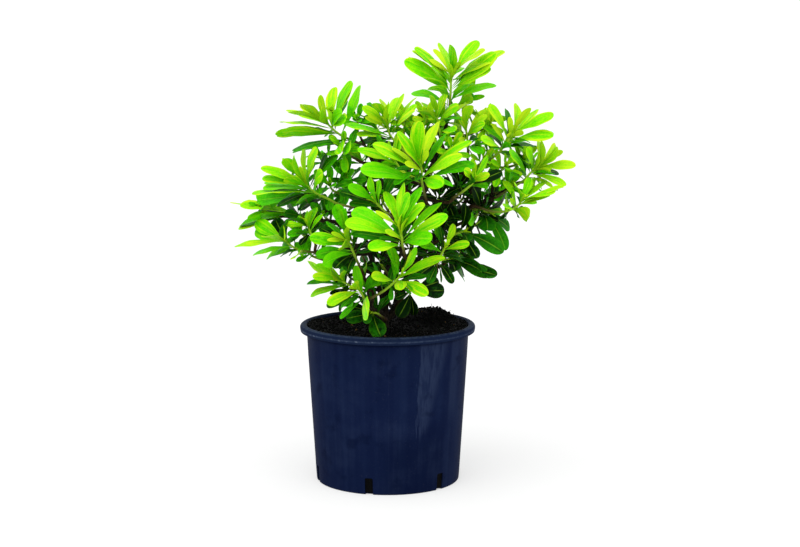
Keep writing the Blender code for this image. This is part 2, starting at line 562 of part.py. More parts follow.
def tube(name, path, radii, resolution=1):
    """A round rod along a path, with closed ends."""
    curve = bpy.data.curves.new(name, "CURVE")
    curve.dimensions = "3D"
    curve.bevel_depth = MM
    curve.bevel_resolution = resolution
    curve.use_fill_caps = True
    spline = curve.splines.new("POLY")
    spline.points.add(len(path) - 1)
    for point, place, radius in zip(spline.points, path, radii):
        point.co = (*place, 1.0)
        point.radius = radius
    holder = bpy.data.objects.new(name, curve)
    bpy.context.scene.collection.objects.link(holder)
    mesh = evaluated(holder)
    bpy.data.objects.remove(holder)
    bpy.data.curves.remove(curve)
    weld = bmesh.new()
    weld.from_mesh(mesh)
    bmesh.ops.remove_doubles(weld, verts=weld.verts, dist=1e-6)
    bmesh.ops.recalc_face_normals(weld, faces=weld.faces)
    weld.to_mesh(mesh)
    weld.free()
    return bpy.data.objects.new(name, mesh)


def tapered(path, first, last):
    return [first + (last - first) * i / (len(path) - 1) for i in range(len(path))]


def fuse(body, pieces):
    """Joins pieces that are sunk into a body to it, in one solid."""
    group = bpy.data.collections.new("pieces")
    bpy.context.scene.collection.children.link(group)
    for piece in pieces:
        group.objects.link(piece)
    join = body.modifiers.new("join", "BOOLEAN")
    join.operation = "UNION"
    join.operand_type = "COLLECTION"
    join.collection = group
    join.solver = "EXACT"
    mesh = evaluated(body)
    body.modifiers.remove(join)
    body.data = mesh
    for piece in pieces:
        bpy.data.objects.remove(piece)
    bpy.data.collections.remove(group)
    drop_scraps(mesh)


def drop_scraps(mesh):
    """Keeps a mesh's largest body."""
    work = bmesh.new()
    work.from_mesh(mesh)
    left = set(work.verts)
    bodies = []
    while left:
        found = {left.pop()}
        front = set(found)
        while front:
            front = {edge.other_vert(vert) for vert in front for edge in vert.link_edges} - found
            found |= front
        left -= found
        bodies.append(found)
    largest = max(bodies, key=len)
    bmesh.ops.delete(work, geom=[vert for vert in work.verts if vert not in largest], context="VERTS")
    work.to_mesh(mesh)
    work.free()


def tree_of(item):
    mesh = item.data
    return BVHTree.FromPolygons([v.co for v in mesh.vertices], [tuple(p.vertices) for p in mesh.polygons])


def paint(item, colour, roughness):
    material = bpy.data.materials.new(item.name)
    material.use_nodes = True
    shader = material.node_tree.nodes["Principled BSDF"]
    shader.inputs["Base Color"].default_value = (*colour, 1.0)
    shader.inputs["Roughness"].default_value = roughness
    shader.inputs["Metallic"].default_value = 0.0
    item.data.materials.clear()
    item.data.materials.append(material)


def turned(name, profile):
    """A profile in (radius, z), turned round Z."""
    mesh = bpy.data.meshes.new(name)
    points = [(r * MM, 0.0, z * MM) for r, z in profile]
    mesh.from_pydata(points, [(i, i + 1) for i in range(len(points) - 1)], [])
    item = bpy.data.objects.new(name, mesh)
    bpy.context.scene.collection.objects.link(item)
    screw = item.modifiers.new("turn", "SCREW")
    screw.steps = TURN_STEPS
    screw.render_steps = TURN_STEPS
    screw.use_merge_vertices = True
    screw.merge_threshold = 0.0001
    screw.use_normal_calculate = True
    item.data = evaluated(item)
    item.modifiers.clear()
    return item


def wall_radius(z):
    """The pot wall's outer radius at a height."""
    return POT_FOOT_RADIUS + (POT_NECK_RADIUS - POT_FOOT_RADIUS) * z / (POT_HEIGHT - RIM_DROP)


def make_pot(parts, cutters):
    top = POT_HEIGHT
    neck = top - RIM_DROP
    inner_top = POT_NECK_RADIUS - POT_WALL
    rim_foot = POT_RIM_RADIUS - RIM_TAPER
    round_foot = [
        (
            POT_FOOT_RADIUS - FOOT_ROUND * (1 - math.cos(math.radians(a))),
            FOOT_ROUND * (1 - math.sin(math.radians(a))),
        )
        for a in (0, 90)
    ]
    profile = [
        (0, POT_FLOOR),
        (wall_radius(POT_FLOOR) - POT_WALL, POT_FLOOR),
        (inner_top, neck),
        (inner_top + LIP_FLARE, top - LIP_DEPTH),
        (inner_top + LIP_REACH, top),
        (POT_RIM_RADIUS - RIM_ROUND, top - RIM_CROWN),
        (POT_RIM_RADIUS, top - RIM_SHOULDER),
        (rim_foot, neck),
        (rim_foot - RIM_WALL, neck),
        (POT_RIM_RADIUS - RIM_WALL - HOOK_TAPER, top - RIM_ROOF),
        (POT_NECK_RADIUS + LIP_FLARE, top - RIM_ROOF),
        (POT_NECK_RADIUS, neck),
        *round_foot,
        (0, 0),
    ]
    pot = turned("pot", profile)
    bpy.context.scene.collection.objects.unlink(pot)
    parts.objects.link(pot)
    for i in range(SLOT_COUNT):
        turn = math.radians(SLOT_FIRST_TURN + 360 / SLOT_COUNT * i)
        bpy.ops.mesh.primitive_cube_add(size=1)
        slot = bpy.context.object
        slot.name = f"slot_{i + 1}"
        slot.scale = (SLOT_DEPTH * 2 * MM, SLOT_WIDTH * MM, SLOT_HEIGHT * 2 * MM)
        slot.location = (POT_FOOT_RADIUS * MM * math.cos(turn), POT_FOOT_RADIUS * MM * math.sin(turn), 0)
        slot.rotation_euler = (0, 0, turn)
        slot.hide_render = True
        slot.display_type = "WIRE"
        for group in slot.users_collection:
            group.objects.unlink(slot)
        cutters.objects.link(slot)
        cut = pot.modifiers.new("slot", "BOOLEAN")
        cut.operation = "DIFFERENCE"
        cut.object = slot
    pot.data.shade_smooth()
    pot.data.set_sharp_from_angle(angle=math.radians(SHARP_EDGE))
    paint(pot, (0.010, 0.016, 0.048), 0.45)
    return pot


def soil_level(x, y, edge):
    """The height of the soil's uneven top: a bowl, with a mound in its middle and a heap by the wall."""
    waves = math.sin(x / 19 + 1.1) * math.cos(y / 23 - 0.4) + 0.6 * math.sin(x / 11 - y / 13)
    out = math.hypot(x, y) / edge
    mound = MOUND * math.exp(-((out * edge / MOUND_SPREAD) ** 2))
    heap = HEAP * math.exp(-((math.hypot(x - HEAP_X, y - HEAP_Y) / HEAP_SPREAD) ** 4))
    level = SOIL_TOP + SOIL_SWELL / 2 * waves + SOIL_BOWL * out**2 + mound + heap
    fall = max(0.0, (out - CREST) / (1 - CREST))
    return level + (min(level, BRIM) - level) * fall


def make_soil(parts, cutters):
    bottom = POT_FLOOR + GAP
    edge = wall_radius(SOIL_TOP) - POT_WALL - GAP
    foot = wall_radius(bottom) - POT_WALL - GAP
    rings = [(edge * share, SOIL_TOP) for share in SOIL_RINGS]
    soil = turned("soil", [(0, SOIL_TOP), *rings, (foot, bottom), (0, bottom)])
    for vertex in soil.data.vertices:
        x, y, z = vertex.co / MM
        if z > SOIL_TOP - 1:
            vertex.co.z = soil_level(x, y, edge) * MM
    bpy.context.scene.collection.objects.unlink(soil)
    parts.objects.link(soil)
    x, y, foot, radius = LIMBS["main"][0]
    bpy.ops.mesh.primitive_cylinder_add(
        vertices=16,
        radius=(radius + HOLE_CLEARANCE) * MM,
        depth=2 * ROOT_DEPTH * MM,
        location=(x * MM, y * MM, (foot - GAP + ROOT_DEPTH) * MM),
    )
    hole = bpy.context.object
    hole.name = "hole"
    hole.hide_render = True
    hole.display_type = "WIRE"
    for group in hole.users_collection:
        group.objects.unlink(hole)
    cutters.objects.link(hole)
    cut = soil.modifiers.new("hole", "BOOLEAN")
    cut.operation = "DIFFERENCE"
    cut.object = hole
    paint(soil, (0.006, 0.005, 0.005), 0.95)
    return soil


def twig_start(limbs, end):
    """Where a twig leaves the limbs for its end, near, lower and at an easy climb, and the limb's radius there."""
    spots = []
    for limb in limbs:
        for (a, first), (b, last) in zip(limb, limb[1:]):
            for share in SPOT_SHARES:
                spot = a.lerp(b, share)
                if LOWEST_TWIG * MM < spot.z < end.z - LEAST_RISE * MM:
                    climb = (end - spot).normalized().z
                    cost = (end - spot).length + abs(climb - TWIG_CLIMB) * CLIMB_COST * MM
                    spots.append((cost, len(spots), spot, first + (last - first) * share))
    return min(spots)[2:]


def make_trunk(parts, paths):
    """The woody frame: the limbs, and a twig from the nearest limb to the foot of each shoot."""
    limbs = [[(Vector(row[:3]) * MM, row[3]) for row in rows] for rows in LIMBS.values()]
    rods = []
    for limb in limbs:
        resolution = 1 if limb[0][1] > THICK_LIMB else 0
        rods.append(tube("limb", [place for place, _ in limb], [radius for _, radius in limb], resolution))
    for path in paths.values():
        way = (path[1] - path[0]).normalized()
        end = path[0] - way * GAP * MM
        start, radius = twig_start(limbs, end)
        elbow = end - way * min((end - start).length * ELBOW_SHARE, ELBOW_REACH * MM)
        twig = [start, elbow, end]
        thick = min(radius * TWIG_SHARE, TWIG_BASE_RADIUS)
        rods.append(tube("twig", twig, tapered(twig, thick, TWIG_RADIUS), 0))
    trunk = rods[0]
    parts.objects.link(trunk)
    fuse(trunk, rods[1:])
    trunk.name = "trunk"
    trunk.data.shade_smooth()
    paint(trunk, (0.035, 0.028, 0.016), 0.8)
    return trunk


def outer_part(faces):
    """A blade without its first stretch, where it may touch its own shoot."""
    return [face for face in faces if min(face) >= FREE_FROM]


def clear_blade(blade, others, own):
    """A blade in the first bend that clears the other shoots, and its own past their first stretch."""
    for bend in BENDS:
        shape = blade(bend)
        points, faces = blade_mesh(*shape, margin=CLEARANCE)
        whole = BVHTree.FromPolygons(points, faces)
        outer = BVHTree.FromPolygons(points, outer_part(faces))
        if not any(whole.overlap(tree) for tree in others) and not any(outer.overlap(tree) for tree in own):
            return blade_mesh(*shape)
    return None


def make_shoot(parts, name, blades, stem, placed, stems):
    """One shoot: its stem with its blades, each bent clear of the rest of the plant."""
    others = [tree for other, tree in [*placed, *stems] if other != name]
    own = []
    pieces = []
    for blade in blades:
        points, faces = clear_blade(blade, others, own) or clear_blade(blade, others, [])
        placed.append((name, BVHTree.FromPolygons(points, faces)))
        own.append(BVHTree.FromPolygons(points, outer_part(faces)))
        pieces.append(mesh_object("blade", points, faces))
    parts.objects.link(stem)
    fuse(stem, pieces)
    stem.name = name
    stem.data.shade_smooth()
    stem.data.set_sharp_from_angle(angle=math.radians(40))
    paint(stem, (0.16, 0.42, 0.02), 0.4)
    return stem


def far_path(tip):
    """The stem of a far shoot: it rises outwards from the middle of the plant."""
    end = Vector(tip) * MM
    lean = (end / MM - FAR_MIDDLE) * FAR_SPREAD
    way = Vector((lean.x, lean.y, FAR_RISE)).normalized()
    middle = end - way * FAR_STEM * MM / 2
    foot = (way * FAR_FOOT_LEAN + FAR_FOOT_RISE).normalized()
    return [middle - foot * FAR_STEM * MM / 2, middle, end]


def main():
    for item in list(bpy.data.objects):
        bpy.data.objects.remove(item)
    parts = bpy.data.collections.new("potted_pittosporum")
    cutters = bpy.data.collections.new("cutters")
    bpy.context.scene.collection.children.link(parts)
    bpy.context.scene.collection.children.link(cutters)
    pot = make_pot(parts, cutters)
    soil = make_soil(parts, cutters)

    paths = {}
    blades = {}
    for name, shoot in SHOOTS.items():
        path = stem_path(shoot)
        paths["shoot_" + name] = path
        blades["shoot_" + name] = read_blades(shoot, path) + far_blades(name, shoot, path)
    for name, (tip, *whorl) in FAR_SHOOTS.items():
        path = far_path(tip)
        paths["shoot_" + name] = path
        blades["shoot_" + name] = whorl_blades(name, path, *whorl)

    stems = {}
    for name, path in paths.items():
        stems[name] = tube(name, path, tapered(path, STEM_BASE_RADIUS, STEM_TIP_RADIUS), 0)
    trunk = make_trunk(parts, paths)
    graph = bpy.context.evaluated_depsgraph_get()
    placed = [(item.name, BVHTree.FromObject(item, graph)) for item in (pot, soil, trunk)]
    stem_trees = [(name, tree_of(stem)) for name, stem in stems.items()]
    for name, stem in stems.items():
        make_shoot(parts, name, blades[name], stem, placed, stem_trees)


main()
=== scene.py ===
"""The looks of a potted Japanese pittosporum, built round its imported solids.

Sizes are in millimetres, turned to metres by MM where they are used. +Z is up and the front faces -Y."""

import json
import math
import random

import bmesh
import bpy
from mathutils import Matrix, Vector
from mathutils.kdtree import KDTree

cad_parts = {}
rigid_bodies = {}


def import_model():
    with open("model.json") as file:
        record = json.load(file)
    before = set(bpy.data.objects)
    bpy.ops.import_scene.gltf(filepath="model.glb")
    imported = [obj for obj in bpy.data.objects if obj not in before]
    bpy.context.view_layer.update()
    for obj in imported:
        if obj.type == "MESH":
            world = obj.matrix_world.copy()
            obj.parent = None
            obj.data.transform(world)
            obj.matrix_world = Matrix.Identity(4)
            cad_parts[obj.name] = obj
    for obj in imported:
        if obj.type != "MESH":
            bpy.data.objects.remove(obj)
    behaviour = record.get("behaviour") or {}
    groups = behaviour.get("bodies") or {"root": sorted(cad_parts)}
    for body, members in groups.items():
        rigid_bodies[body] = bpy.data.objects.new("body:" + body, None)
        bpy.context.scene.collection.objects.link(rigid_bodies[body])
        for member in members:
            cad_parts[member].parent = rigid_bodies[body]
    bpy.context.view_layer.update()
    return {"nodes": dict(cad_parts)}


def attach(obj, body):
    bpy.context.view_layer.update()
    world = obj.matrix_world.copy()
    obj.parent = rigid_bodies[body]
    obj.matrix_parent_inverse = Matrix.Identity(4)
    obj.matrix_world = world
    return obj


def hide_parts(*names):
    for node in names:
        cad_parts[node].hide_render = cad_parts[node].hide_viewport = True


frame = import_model()
MM = 0.001


# Pot
# A nursery pot moulded in navy polypropylene: a thin tapered wall, a rim rolled over into a hooked bead, and
# drainage slots cut up through the foot. It bears scuffs and is a little clouded from handling. Its colour
# also holds painted shade below the rim, painted highlight lines along the rim and a painted reflection on
# the right.
def operator(operation, turned=False):
    """A method that adds a math node of a wire and another value. Turned, the other value comes first."""
    def work(self, other):
        return self.compute(operation, other, self) if turned else self.compute(operation, self, other)
    return work


def function(operation):
    """A method that adds a math node of a wire alone."""
    return lambda self: self.compute(operation, self)


class Wire:
    """An output in a node tree. Operators on it add Math nodes, or Vector Math nodes where it is a vector."""

    def __init__(self, graph, socket):
        self.graph = graph
        self.socket = socket
        self.is_vector = socket.type in ("VECTOR", "RGBA")

    def compute(self, operation, *values, out=0):
        kind = "ShaderNodeVectorMath" if self.is_vector else "ShaderNodeMath"
        return self.graph.node(kind, dict(enumerate(values)), out=out, operation=operation)

    def __mul__(self, other):
        if self.is_vector and not isinstance(other, tuple) and not getattr(other, "is_vector", False):
            values = {"Vector": self, "Scale": other}
            return self.graph.node("ShaderNodeVectorMath", values, operation="SCALE")
        return self.compute("MULTIPLY", self, other)

    __rmul__ = __mul__
    __add__, __radd__ = operator("ADD"), operator("ADD", turned=True)
    __sub__, __rsub__ = operator("SUBTRACT"), operator("SUBTRACT", turned=True)
    __truediv__, __pow__, __gt__ = operator("DIVIDE"), operator("POWER"), operator("GREATER_THAN")
    low, high, cross = operator("MINIMUM"), operator("MAXIMUM"), operator("CROSS_PRODUCT")
    sin, cos, fraction = function("SINE"), function("COSINE"), function("FRACT")
    __abs__, unit = function("ABSOLUTE"), function("NORMALIZE")

    def dot(self, other):
        return self.compute("DOT_PRODUCT", self, other, out="Value")

    def parts(self):
        return [self.graph.node("ShaderNodeSeparateXYZ", {0: self}, out=axis) for axis in "XYZ"]

    def step(self, low, high):
        """0 below low and 1 above high, with a smooth rise between them."""
        values = {"Value": self, "From Min": low, "From Max": high}
        return self.graph.node("ShaderNodeMapRange", values, interpolation_type="SMOOTHSTEP")

    def mix(self, first, second):
        """From the first colour, where this wire is 0, to the second, where it is 1."""
        return self.graph.node("ShaderNodeMix", {"Factor": self, "A": first, "B": second}, data_type="RGBA")


class Graph:
    """A node tree that nodes are added to; each comes back as the wire of one of its outputs."""

    def __init__(self, tree):
        self.tree = tree

    def node(self, kind, values=None, out=0, stops=None, **settings):
        made = self.tree.nodes.new(kind)
        for name, value in settings.items():
            setattr(made, name, value)
        if stops:
            ramp = made.color_ramp.elements
            while len(ramp) < len(stops):
                ramp.new(0.5)
            for element, (place, colour) in zip(ramp, stops):
                element.position = place
                element.color = (*colour, 1.0)
        for key, value in (values or {}).items():
            socket = self.find(made.inputs, key)
            if isinstance(value, Wire):
                self.tree.links.new(value.socket, socket)
            elif socket.type == "RGBA" and len(value) == 3:
                socket.default_value = (*value, 1.0)
            else:
                socket.default_value = value
        return Wire(self, self.find(made.outputs, out)) if made.outputs else None

    def find(self, sockets, key):
        in_use = [socket for socket in sockets if socket.enabled]
        if isinstance(key, int):
            return in_use[key]
        return next(socket for socket in in_use if socket.name == key)

    def noise(self, place, scale, detail=2.0, roughness=0.5, out=0):
        values = {"Vector": place, "Scale": scale, "Detail": detail, "Roughness": roughness}
        return self.node("ShaderNodeTexNoise", values, out=out)

    def stripe(self, **values):
        """A vector of the values given for X, Y and Z, as the place of a noise."""
        return self.node("ShaderNodeCombineXYZ", values)


class Finish(Graph):
    """A material: its shader's constant numbers are set here, and what varies is wired in by paint."""

    def __init__(self, name, **constants):
        self.material = bpy.data.materials.new(name)
        self.material.use_nodes = True
        super().__init__(self.material.node_tree)
        self.shader = self.tree.nodes["Principled BSDF"]
        for key, value in constants.items():
            self.shader.inputs[key.replace("_", " ").title().replace("Ior", "IOR")].default_value = value
        self.place = self.node("ShaderNodeTexCoord", out="Object")

    def attribute(self, name):
        return self.node("ShaderNodeAttribute", out="Fac", attribute_name=name)

    def paint(self, colour, roughness, bump=None, strength=0.3, depth=0.2):
        self.tree.links.new(colour.socket, self.shader.inputs["Base Color"])
        self.tree.links.new(roughness.socket, self.shader.inputs["Roughness"])
        if bump:
            values = {"Strength": strength, "Distance": depth * MM, "Height": bump}
            self.tree.links.new(self.node("ShaderNodeBump", values).socket, self.shader.inputs["Normal"])


def placed(name, data):
    """A new object in the scene."""
    made = bpy.data.objects.new(name, data)
    bpy.context.scene.collection.objects.link(made)
    return made


def show(piece, node, finish):
    """Gives a piece its finish and lets it replace its solid."""
    piece.data.materials.clear()
    piece.data.materials.append(finish.material)
    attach(piece, "root")
    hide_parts(node)


def evaluated(holder):
    """The plain mesh of an object with its modifiers applied."""
    bpy.context.view_layer.update()
    graph = bpy.context.evaluated_depsgraph_get()
    seen = holder.evaluated_get(graph)
    return bpy.data.meshes.new_from_object(seen, preserve_all_data_layers=True, depsgraph=graph)


MERGE_REACH = 0.05
POT_TURNS = 160


def turned(name, profile, steps):
    """A profile in (radius, z), turned round Z."""
    mesh = bpy.data.meshes.new(name)
    edges = [(i, i + 1) for i in range(len(profile) - 1)]
    mesh.from_pydata([(r * MM, 0.0, z * MM) for r, z in profile], edges, [])
    piece = placed(name, mesh)
    screw = piece.modifiers.new("turn", "SCREW")
    screw.steps = steps
    screw.render_steps = steps
    screw.use_merge_vertices = True
    screw.merge_threshold = MERGE_REACH * MM
    screw.use_normal_calculate = True
    piece.data = evaluated(piece)
    piece.modifiers.clear()
    return piece


def arc(x, z, across, up, first, last, steps):
    """Points of an elliptic arc in (radius, z), between two angles in degrees from +X."""
    angles = [math.radians(first + (last - first) * i / steps) for i in range(steps + 1)]
    return [(x + across * math.cos(a), z + up * math.sin(a)) for a in angles]


POT_HEIGHT = 235.0
FOOT_RADIUS = 106.5
NECK_RADIUS = 120.5
RIM_RADIUS = 130.0
WALL = 1.8
FLOOR = 2.4
RIM_DROP = 11.0
neck = POT_HEIGHT - RIM_DROP


def wall_radius(z):
    return FOOT_RADIUS + (NECK_RADIUS - FOOT_RADIUS) * z / neck


inner_foot = wall_radius(FLOOR) - WALL
pot = turned(
    "nursery_pot",
    [
        (0, FLOOR),
        *arc(inner_foot - 3, FLOOR + 3, 3, 3, -90, 0, 4),
        (wall_radius(60) - WALL, 60),
        (wall_radius(140) - WALL, 140),
        (NECK_RADIUS - WALL, neck - 1),
        *arc(NECK_RADIUS + 3.4, POT_HEIGHT - 5, 5.1, 5.0, 180, 96, 7),
        *arc(RIM_RADIUS - 4.6, POT_HEIGHT - 5, 4.6, 4.6, 84, 0, 8),
        (RIM_RADIUS - 0.2, POT_HEIGHT - 7.6),
        *arc(RIM_RADIUS - 1.7, neck + 0.9, 1.0, 0.9, 0, -90, 3),
        *arc(RIM_RADIUS - 2.1, neck + 0.9, 1.0, 0.9, -90, -180, 3),
        (RIM_RADIUS - 3.4, POT_HEIGHT - 7),
        *arc(RIM_RADIUS - 5.9, POT_HEIGHT - 6.4, 2.4, 1.8, 0, 90, 4),
        (NECK_RADIUS + 1.9, POT_HEIGHT - 4.9),
        (NECK_RADIUS + 0.9, POT_HEIGHT - 8),
        (NECK_RADIUS + 0.1, neck - 1),
        (NECK_RADIUS - 0.1, neck - 5.4),
        (NECK_RADIUS - 0.75, neck - 6.2),
        (wall_radius(190) - 0.05, 190),
        (wall_radius(140), 140),
        (wall_radius(90), 90),
        (wall_radius(40), 40),
        (wall_radius(12), 12),
        *arc(FOOT_RADIUS - 2.6, 2.6, 2.6, 2.6, 0, -90, 5),
        (FOOT_RADIUS - 9, 0),
        (0, 0),
    ],
    POT_TURNS,
)
SLOT_COUNT = 6
SLOT_WIDTH = 12.0
SLOT_HEIGHT = 25.0
SLOT_DEPTH = 7.0
SLOT_FIRST_TURN = -104.5
SLOT_ROUNDING = 2.0
SHARP_TURN = 38.0
cutters = bpy.data.collections.new("slots")
bpy.context.scene.collection.children.link(cutters)
for i in range(SLOT_COUNT):
    turn = math.radians(SLOT_FIRST_TURN + 360 / SLOT_COUNT * i)
    bpy.ops.mesh.primitive_cube_add(size=1)
    slot = bpy.context.object
    slot.scale = (SLOT_DEPTH * 2 * MM, SLOT_WIDTH * MM, SLOT_HEIGHT * 2 * MM)
    slot.location = (FOOT_RADIUS * MM * math.cos(turn), FOOT_RADIUS * MM * math.sin(turn), 0)
    slot.rotation_euler = (0, 0, turn)
    bpy.ops.object.transform_apply(location=True, rotation=True, scale=True)
    soften = slot.modifiers.new("soften", "BEVEL")
    soften.width = SLOT_ROUNDING * MM
    soften.segments = 3
    for group in slot.users_collection:
        group.objects.unlink(slot)
    cutters.objects.link(slot)
cut = pot.modifiers.new("slots", "BOOLEAN")
cut.operation = "DIFFERENCE"
cut.operand_type = "COLLECTION"
cut.collection = cutters
pot.data = evaluated(pot)
pot.modifiers.clear()
for slot in list(cutters.objects):
    bpy.data.objects.remove(slot)
bpy.data.collections.remove(cutters)
pot.data.shade_smooth()
pot.data.set_sharp_from_angle(angle=math.radians(SHARP_TURN))

plastic = Finish("scuffed_navy_plastic", specular_ior_level=0.005)
x, y, z = plastic.place.parts()
around = plastic.node("ShaderNodeMath", {0: x, 1: y * -1.0}, operation="ARCTAN2")
streaks = plastic.noise(plastic.stripe(X=around * 9.0, Z=z * 3.0), 2.2, 4.0, 0.62)
smears = plastic.noise(plastic.stripe(X=around * 12.0, Z=z * 14.0), 1.6, 4.0, 0.62)
bands = plastic.noise(plastic.stripe(X=around * 5.0, Z=z * 0.6), 1.6, 1.0)
cloud = plastic.noise(plastic.place, 17.0, 4.0, 0.6)
blot = plastic.noise(plastic.place + (3.1, 0.7, 1.9), 30.0, 3.0, 0.55).step(0.56, 0.72)
fleck = plastic.noise(plastic.place, 170.0, 3.0, 0.7)
speck = plastic.noise(plastic.place, 420.0, 2.0, 0.6)
haze_and_reflection = (streaks * 0.35 + cloud * 0.65).step(0.46, 0.7) * 0.3
stray = (smears - 0.5) * 0.2
HAZE_FOOT = 90.0
HAZE_SPREAD = 2.4
right_edge = around + stray - (z - HAZE_FOOT * MM) * HAZE_SPREAD
dried = (around + stray).step(0.37, 0.4) * (1.0 - right_edge.step(0.43, 0.58))
dried = dried * (z + stray * 0.3).step(0.08, 0.105) * (0.3 + smears.step(0.36, 0.58) * 0.7)
# Painted reflection: a pale vertical band near the right side of the wall, mirroring a lamp.
side = (around + stray * 0.5).step(0.86, 0.92) * (1.0 - around.step(1.0, 1.1)) * z.step(0.08, 0.14) * 0.55
# From here the haze mask holds the painted reflection on the right as well as the real clouding and dried
# film.
haze_and_reflection = haze_and_reflection.high(dried).high(side)
low = 1.0 - (z + (cloud - 0.5) * 0.05).step(0.05, 0.125)
front = (around + (cloud - 0.5) * 0.4).step(-0.2, 0.15) * (1.0 - around.step(0.72, 0.9))
rim = z.step(0.2225, 0.2245)
CREST_HEIGHT = POT_HEIGHT - 0.8
LEDGE_HEIGHT = POT_HEIGHT - 6.7
# The crest and the lower edge of the bead, where the painted highlight lines run; the chalk marks keep to
# that lower edge.
crest = (0.0016 - abs(z - CREST_HEIGHT * MM)).step(0.0, 0.0012)
ledge = (0.0017 - abs(z - LEDGE_HEIGHT * MM)).step(0.0, 0.0012)
scuff = (cloud * 0.5 + fleck * 0.5).step(0.38, 0.6)
navy = (bands * 0.6 + cloud * 0.4).step(0.36, 0.66).mix((0.004, 0.0082, 0.032), (0.0056, 0.0112, 0.0385))
shaded = (low * (0.25 + front * 0.4)).mix(navy, (0.0018, 0.004, 0.0185))
# A lighter colour for the real clouding and for the painted reflection on the right side.
hazy_and_reflected = (haze_and_reflection * 0.9).mix(shaded, (0.0165, 0.026, 0.061))
dirty = (blot * 0.55).mix(hazy_and_reflected, (0.0018, 0.0042, 0.019))
# Painted shade: a dark band on the wall just below the rolled rim, where the bead shades it.
shade_under_rim = (z.step(0.2175, 0.222) * (1.0 - rim) * 0.6).mix(dirty, (0.0012, 0.0028, 0.014))
lip = rim.mix(shade_under_rim, (0.0052, 0.0106, 0.033))
# Painted highlight: pale lines along the rim's crest and the lower edge of its bead, broken by scuffs; the
# faint rest over the whole rim is real wear.
rim_highlight_and_scuffs = rim * (crest.high(ledge) * 0.6 + 0.06) * (0.2 + scuff * 0.8)
rim_highlit_and_worn = rim_highlight_and_scuffs.mix(lip, (0.042, 0.06, 0.105))
chalky = rim * ledge * fleck.step(0.54, 0.64) * cloud.step(0.48, 0.58) * 0.55
chalk = chalky.mix(rim_highlit_and_worn, (0.13, 0.16, 0.21))
dusty = ((speck > 0.67) * 0.08).mix(chalk, (0.06, 0.066, 0.09))
LINE_TURN = 0.02
line = (0.035 - abs(around - LINE_TURN)).step(0.03, 0.035)
lined = (line * (1.0 - rim) * 0.25).mix(dusty, (0.014, 0.021, 0.052))
grain = speck * 0.5 + streaks * 0.4 + smears * 0.3 + line * 0.6
plastic.paint(lined, 0.46 + haze_and_reflection * 0.16 + (cloud - 0.5) * 0.18, grain, 0.24, 0.25)
show(pot, "pot", plastic)


# Soil
# Dark peaty compost, filled to just under the rim: crumbs of peat and bark over a lumpy top, with a few ochre
# chips. It is heaped up by the wall at the back right.
SOIL_TOP = 223.0
SOIL_SWELL = 3.0
SOIL_BOWL = 9.0
CREST = 0.93
BRIM = 233.0
MOUND = 3.6
MOUND_SPREAD = 34.0
HEAP = 12.5
HEAP_X = 74.0
HEAP_Y = 82.0
HEAP_SPREAD = 40.0
GAP = 0.3
BED_RINGS = 34
BED_TURNS = 120
CRUMB_DENSITY = 105000.0
CRUMB_SIZES = (0.5, 3.4)
CRUMB_STRAY = 2.4


class Grower(Graph):
    """A Geometry Nodes tree with named inputs. Its grow method gives the piece made from a start mesh."""

    def __init__(self, name, **inputs):
        super().__init__(bpy.data.node_groups.new(name, "GeometryNodeTree"))
        face = self.tree.interface
        kinds = {"Geometry": "Geometry", **inputs}
        self.sockets = {
            key: face.new_socket(name=key, in_out="INPUT", socket_type="NodeSocket" + kind)
            for key, kind in kinds.items()
        }
        face.new_socket(name="Geometry", in_out="OUTPUT", socket_type="NodeSocketGeometry")
        self.source = self.tree.nodes.new("NodeGroupInput")

    def __getitem__(self, name):
        return Wire(self, self.source.outputs[name])

    def attribute(self, name, kind="FLOAT"):
        return self.node("GeometryNodeInputNamedAttribute", {"Name": name}, data_type=kind)

    def store(self, geometry, name, value, domain="POINT"):
        values = {"Geometry": geometry, "Name": name, "Value": value}
        return self.node("GeometryNodeStoreNamedAttribute", values, data_type="FLOAT", domain=domain)

    def chance(self, low, high, seed):
        """A random number for each element."""
        values = {"Min": low, "Max": high, "Seed": seed}
        return self.node("FunctionNodeRandomValue", values, data_type="FLOAT")

    def any_turn(self, seed):
        """A random rotation for each element."""
        values = {"Min": (0.0, 0.0, 0.0), "Max": (math.tau, math.tau, math.tau), "Seed": seed}
        return self.node("FunctionNodeRandomValue", values, data_type="FLOAT_VECTOR")

    def join(self, *geometries):
        joined = self.node("GeometryNodeJoinGeometry")
        for geometry in geometries:
            self.tree.links.new(geometry.socket, joined.socket.node.inputs["Geometry"])
        return joined

    def finish(self, geometry):
        """Ends the tree: instances made real, smooth faces and the material."""
        real = self.node("GeometryNodeRealizeInstances", {"Geometry": geometry})
        smooth = self.node("GeometryNodeSetShadeSmooth", {"Geometry": real})
        painted = self.node("GeometryNodeSetMaterial", {"Geometry": smooth, "Material": self["Finish"]})
        self.node("NodeGroupOutput", {"Geometry": painted})

    def grow(self, name, start, **values):
        holder = placed(name, start)
        modifier = holder.modifiers.new("grow", "NODES")
        modifier.node_group = self.tree
        for key, value in values.items():
            modifier[self.sockets[key].identifier] = value
        mesh = evaluated(holder)
        bpy.data.objects.remove(holder)
        return placed(name, mesh)


def soil_level(x, y, edge):
    """The height of the soil's uneven top: a bowl, with a mound in its middle and a heap by the wall."""
    waves = math.sin(x / 19 + 1.1) * math.cos(y / 23 - 0.4) + 0.6 * math.sin(x / 11 - y / 13)
    out = math.hypot(x, y) / edge
    mound = MOUND * math.exp(-((out * edge / MOUND_SPREAD) ** 2))
    heap = HEAP * math.exp(-((math.hypot(x - HEAP_X, y - HEAP_Y) / HEAP_SPREAD) ** 4))
    level = SOIL_TOP + SOIL_SWELL / 2 * waves + SOIL_BOWL * out**2 + mound + heap
    fall = max(0.0, (out - CREST) / (1 - CREST))
    return level + (min(level, BRIM) - level) * fall


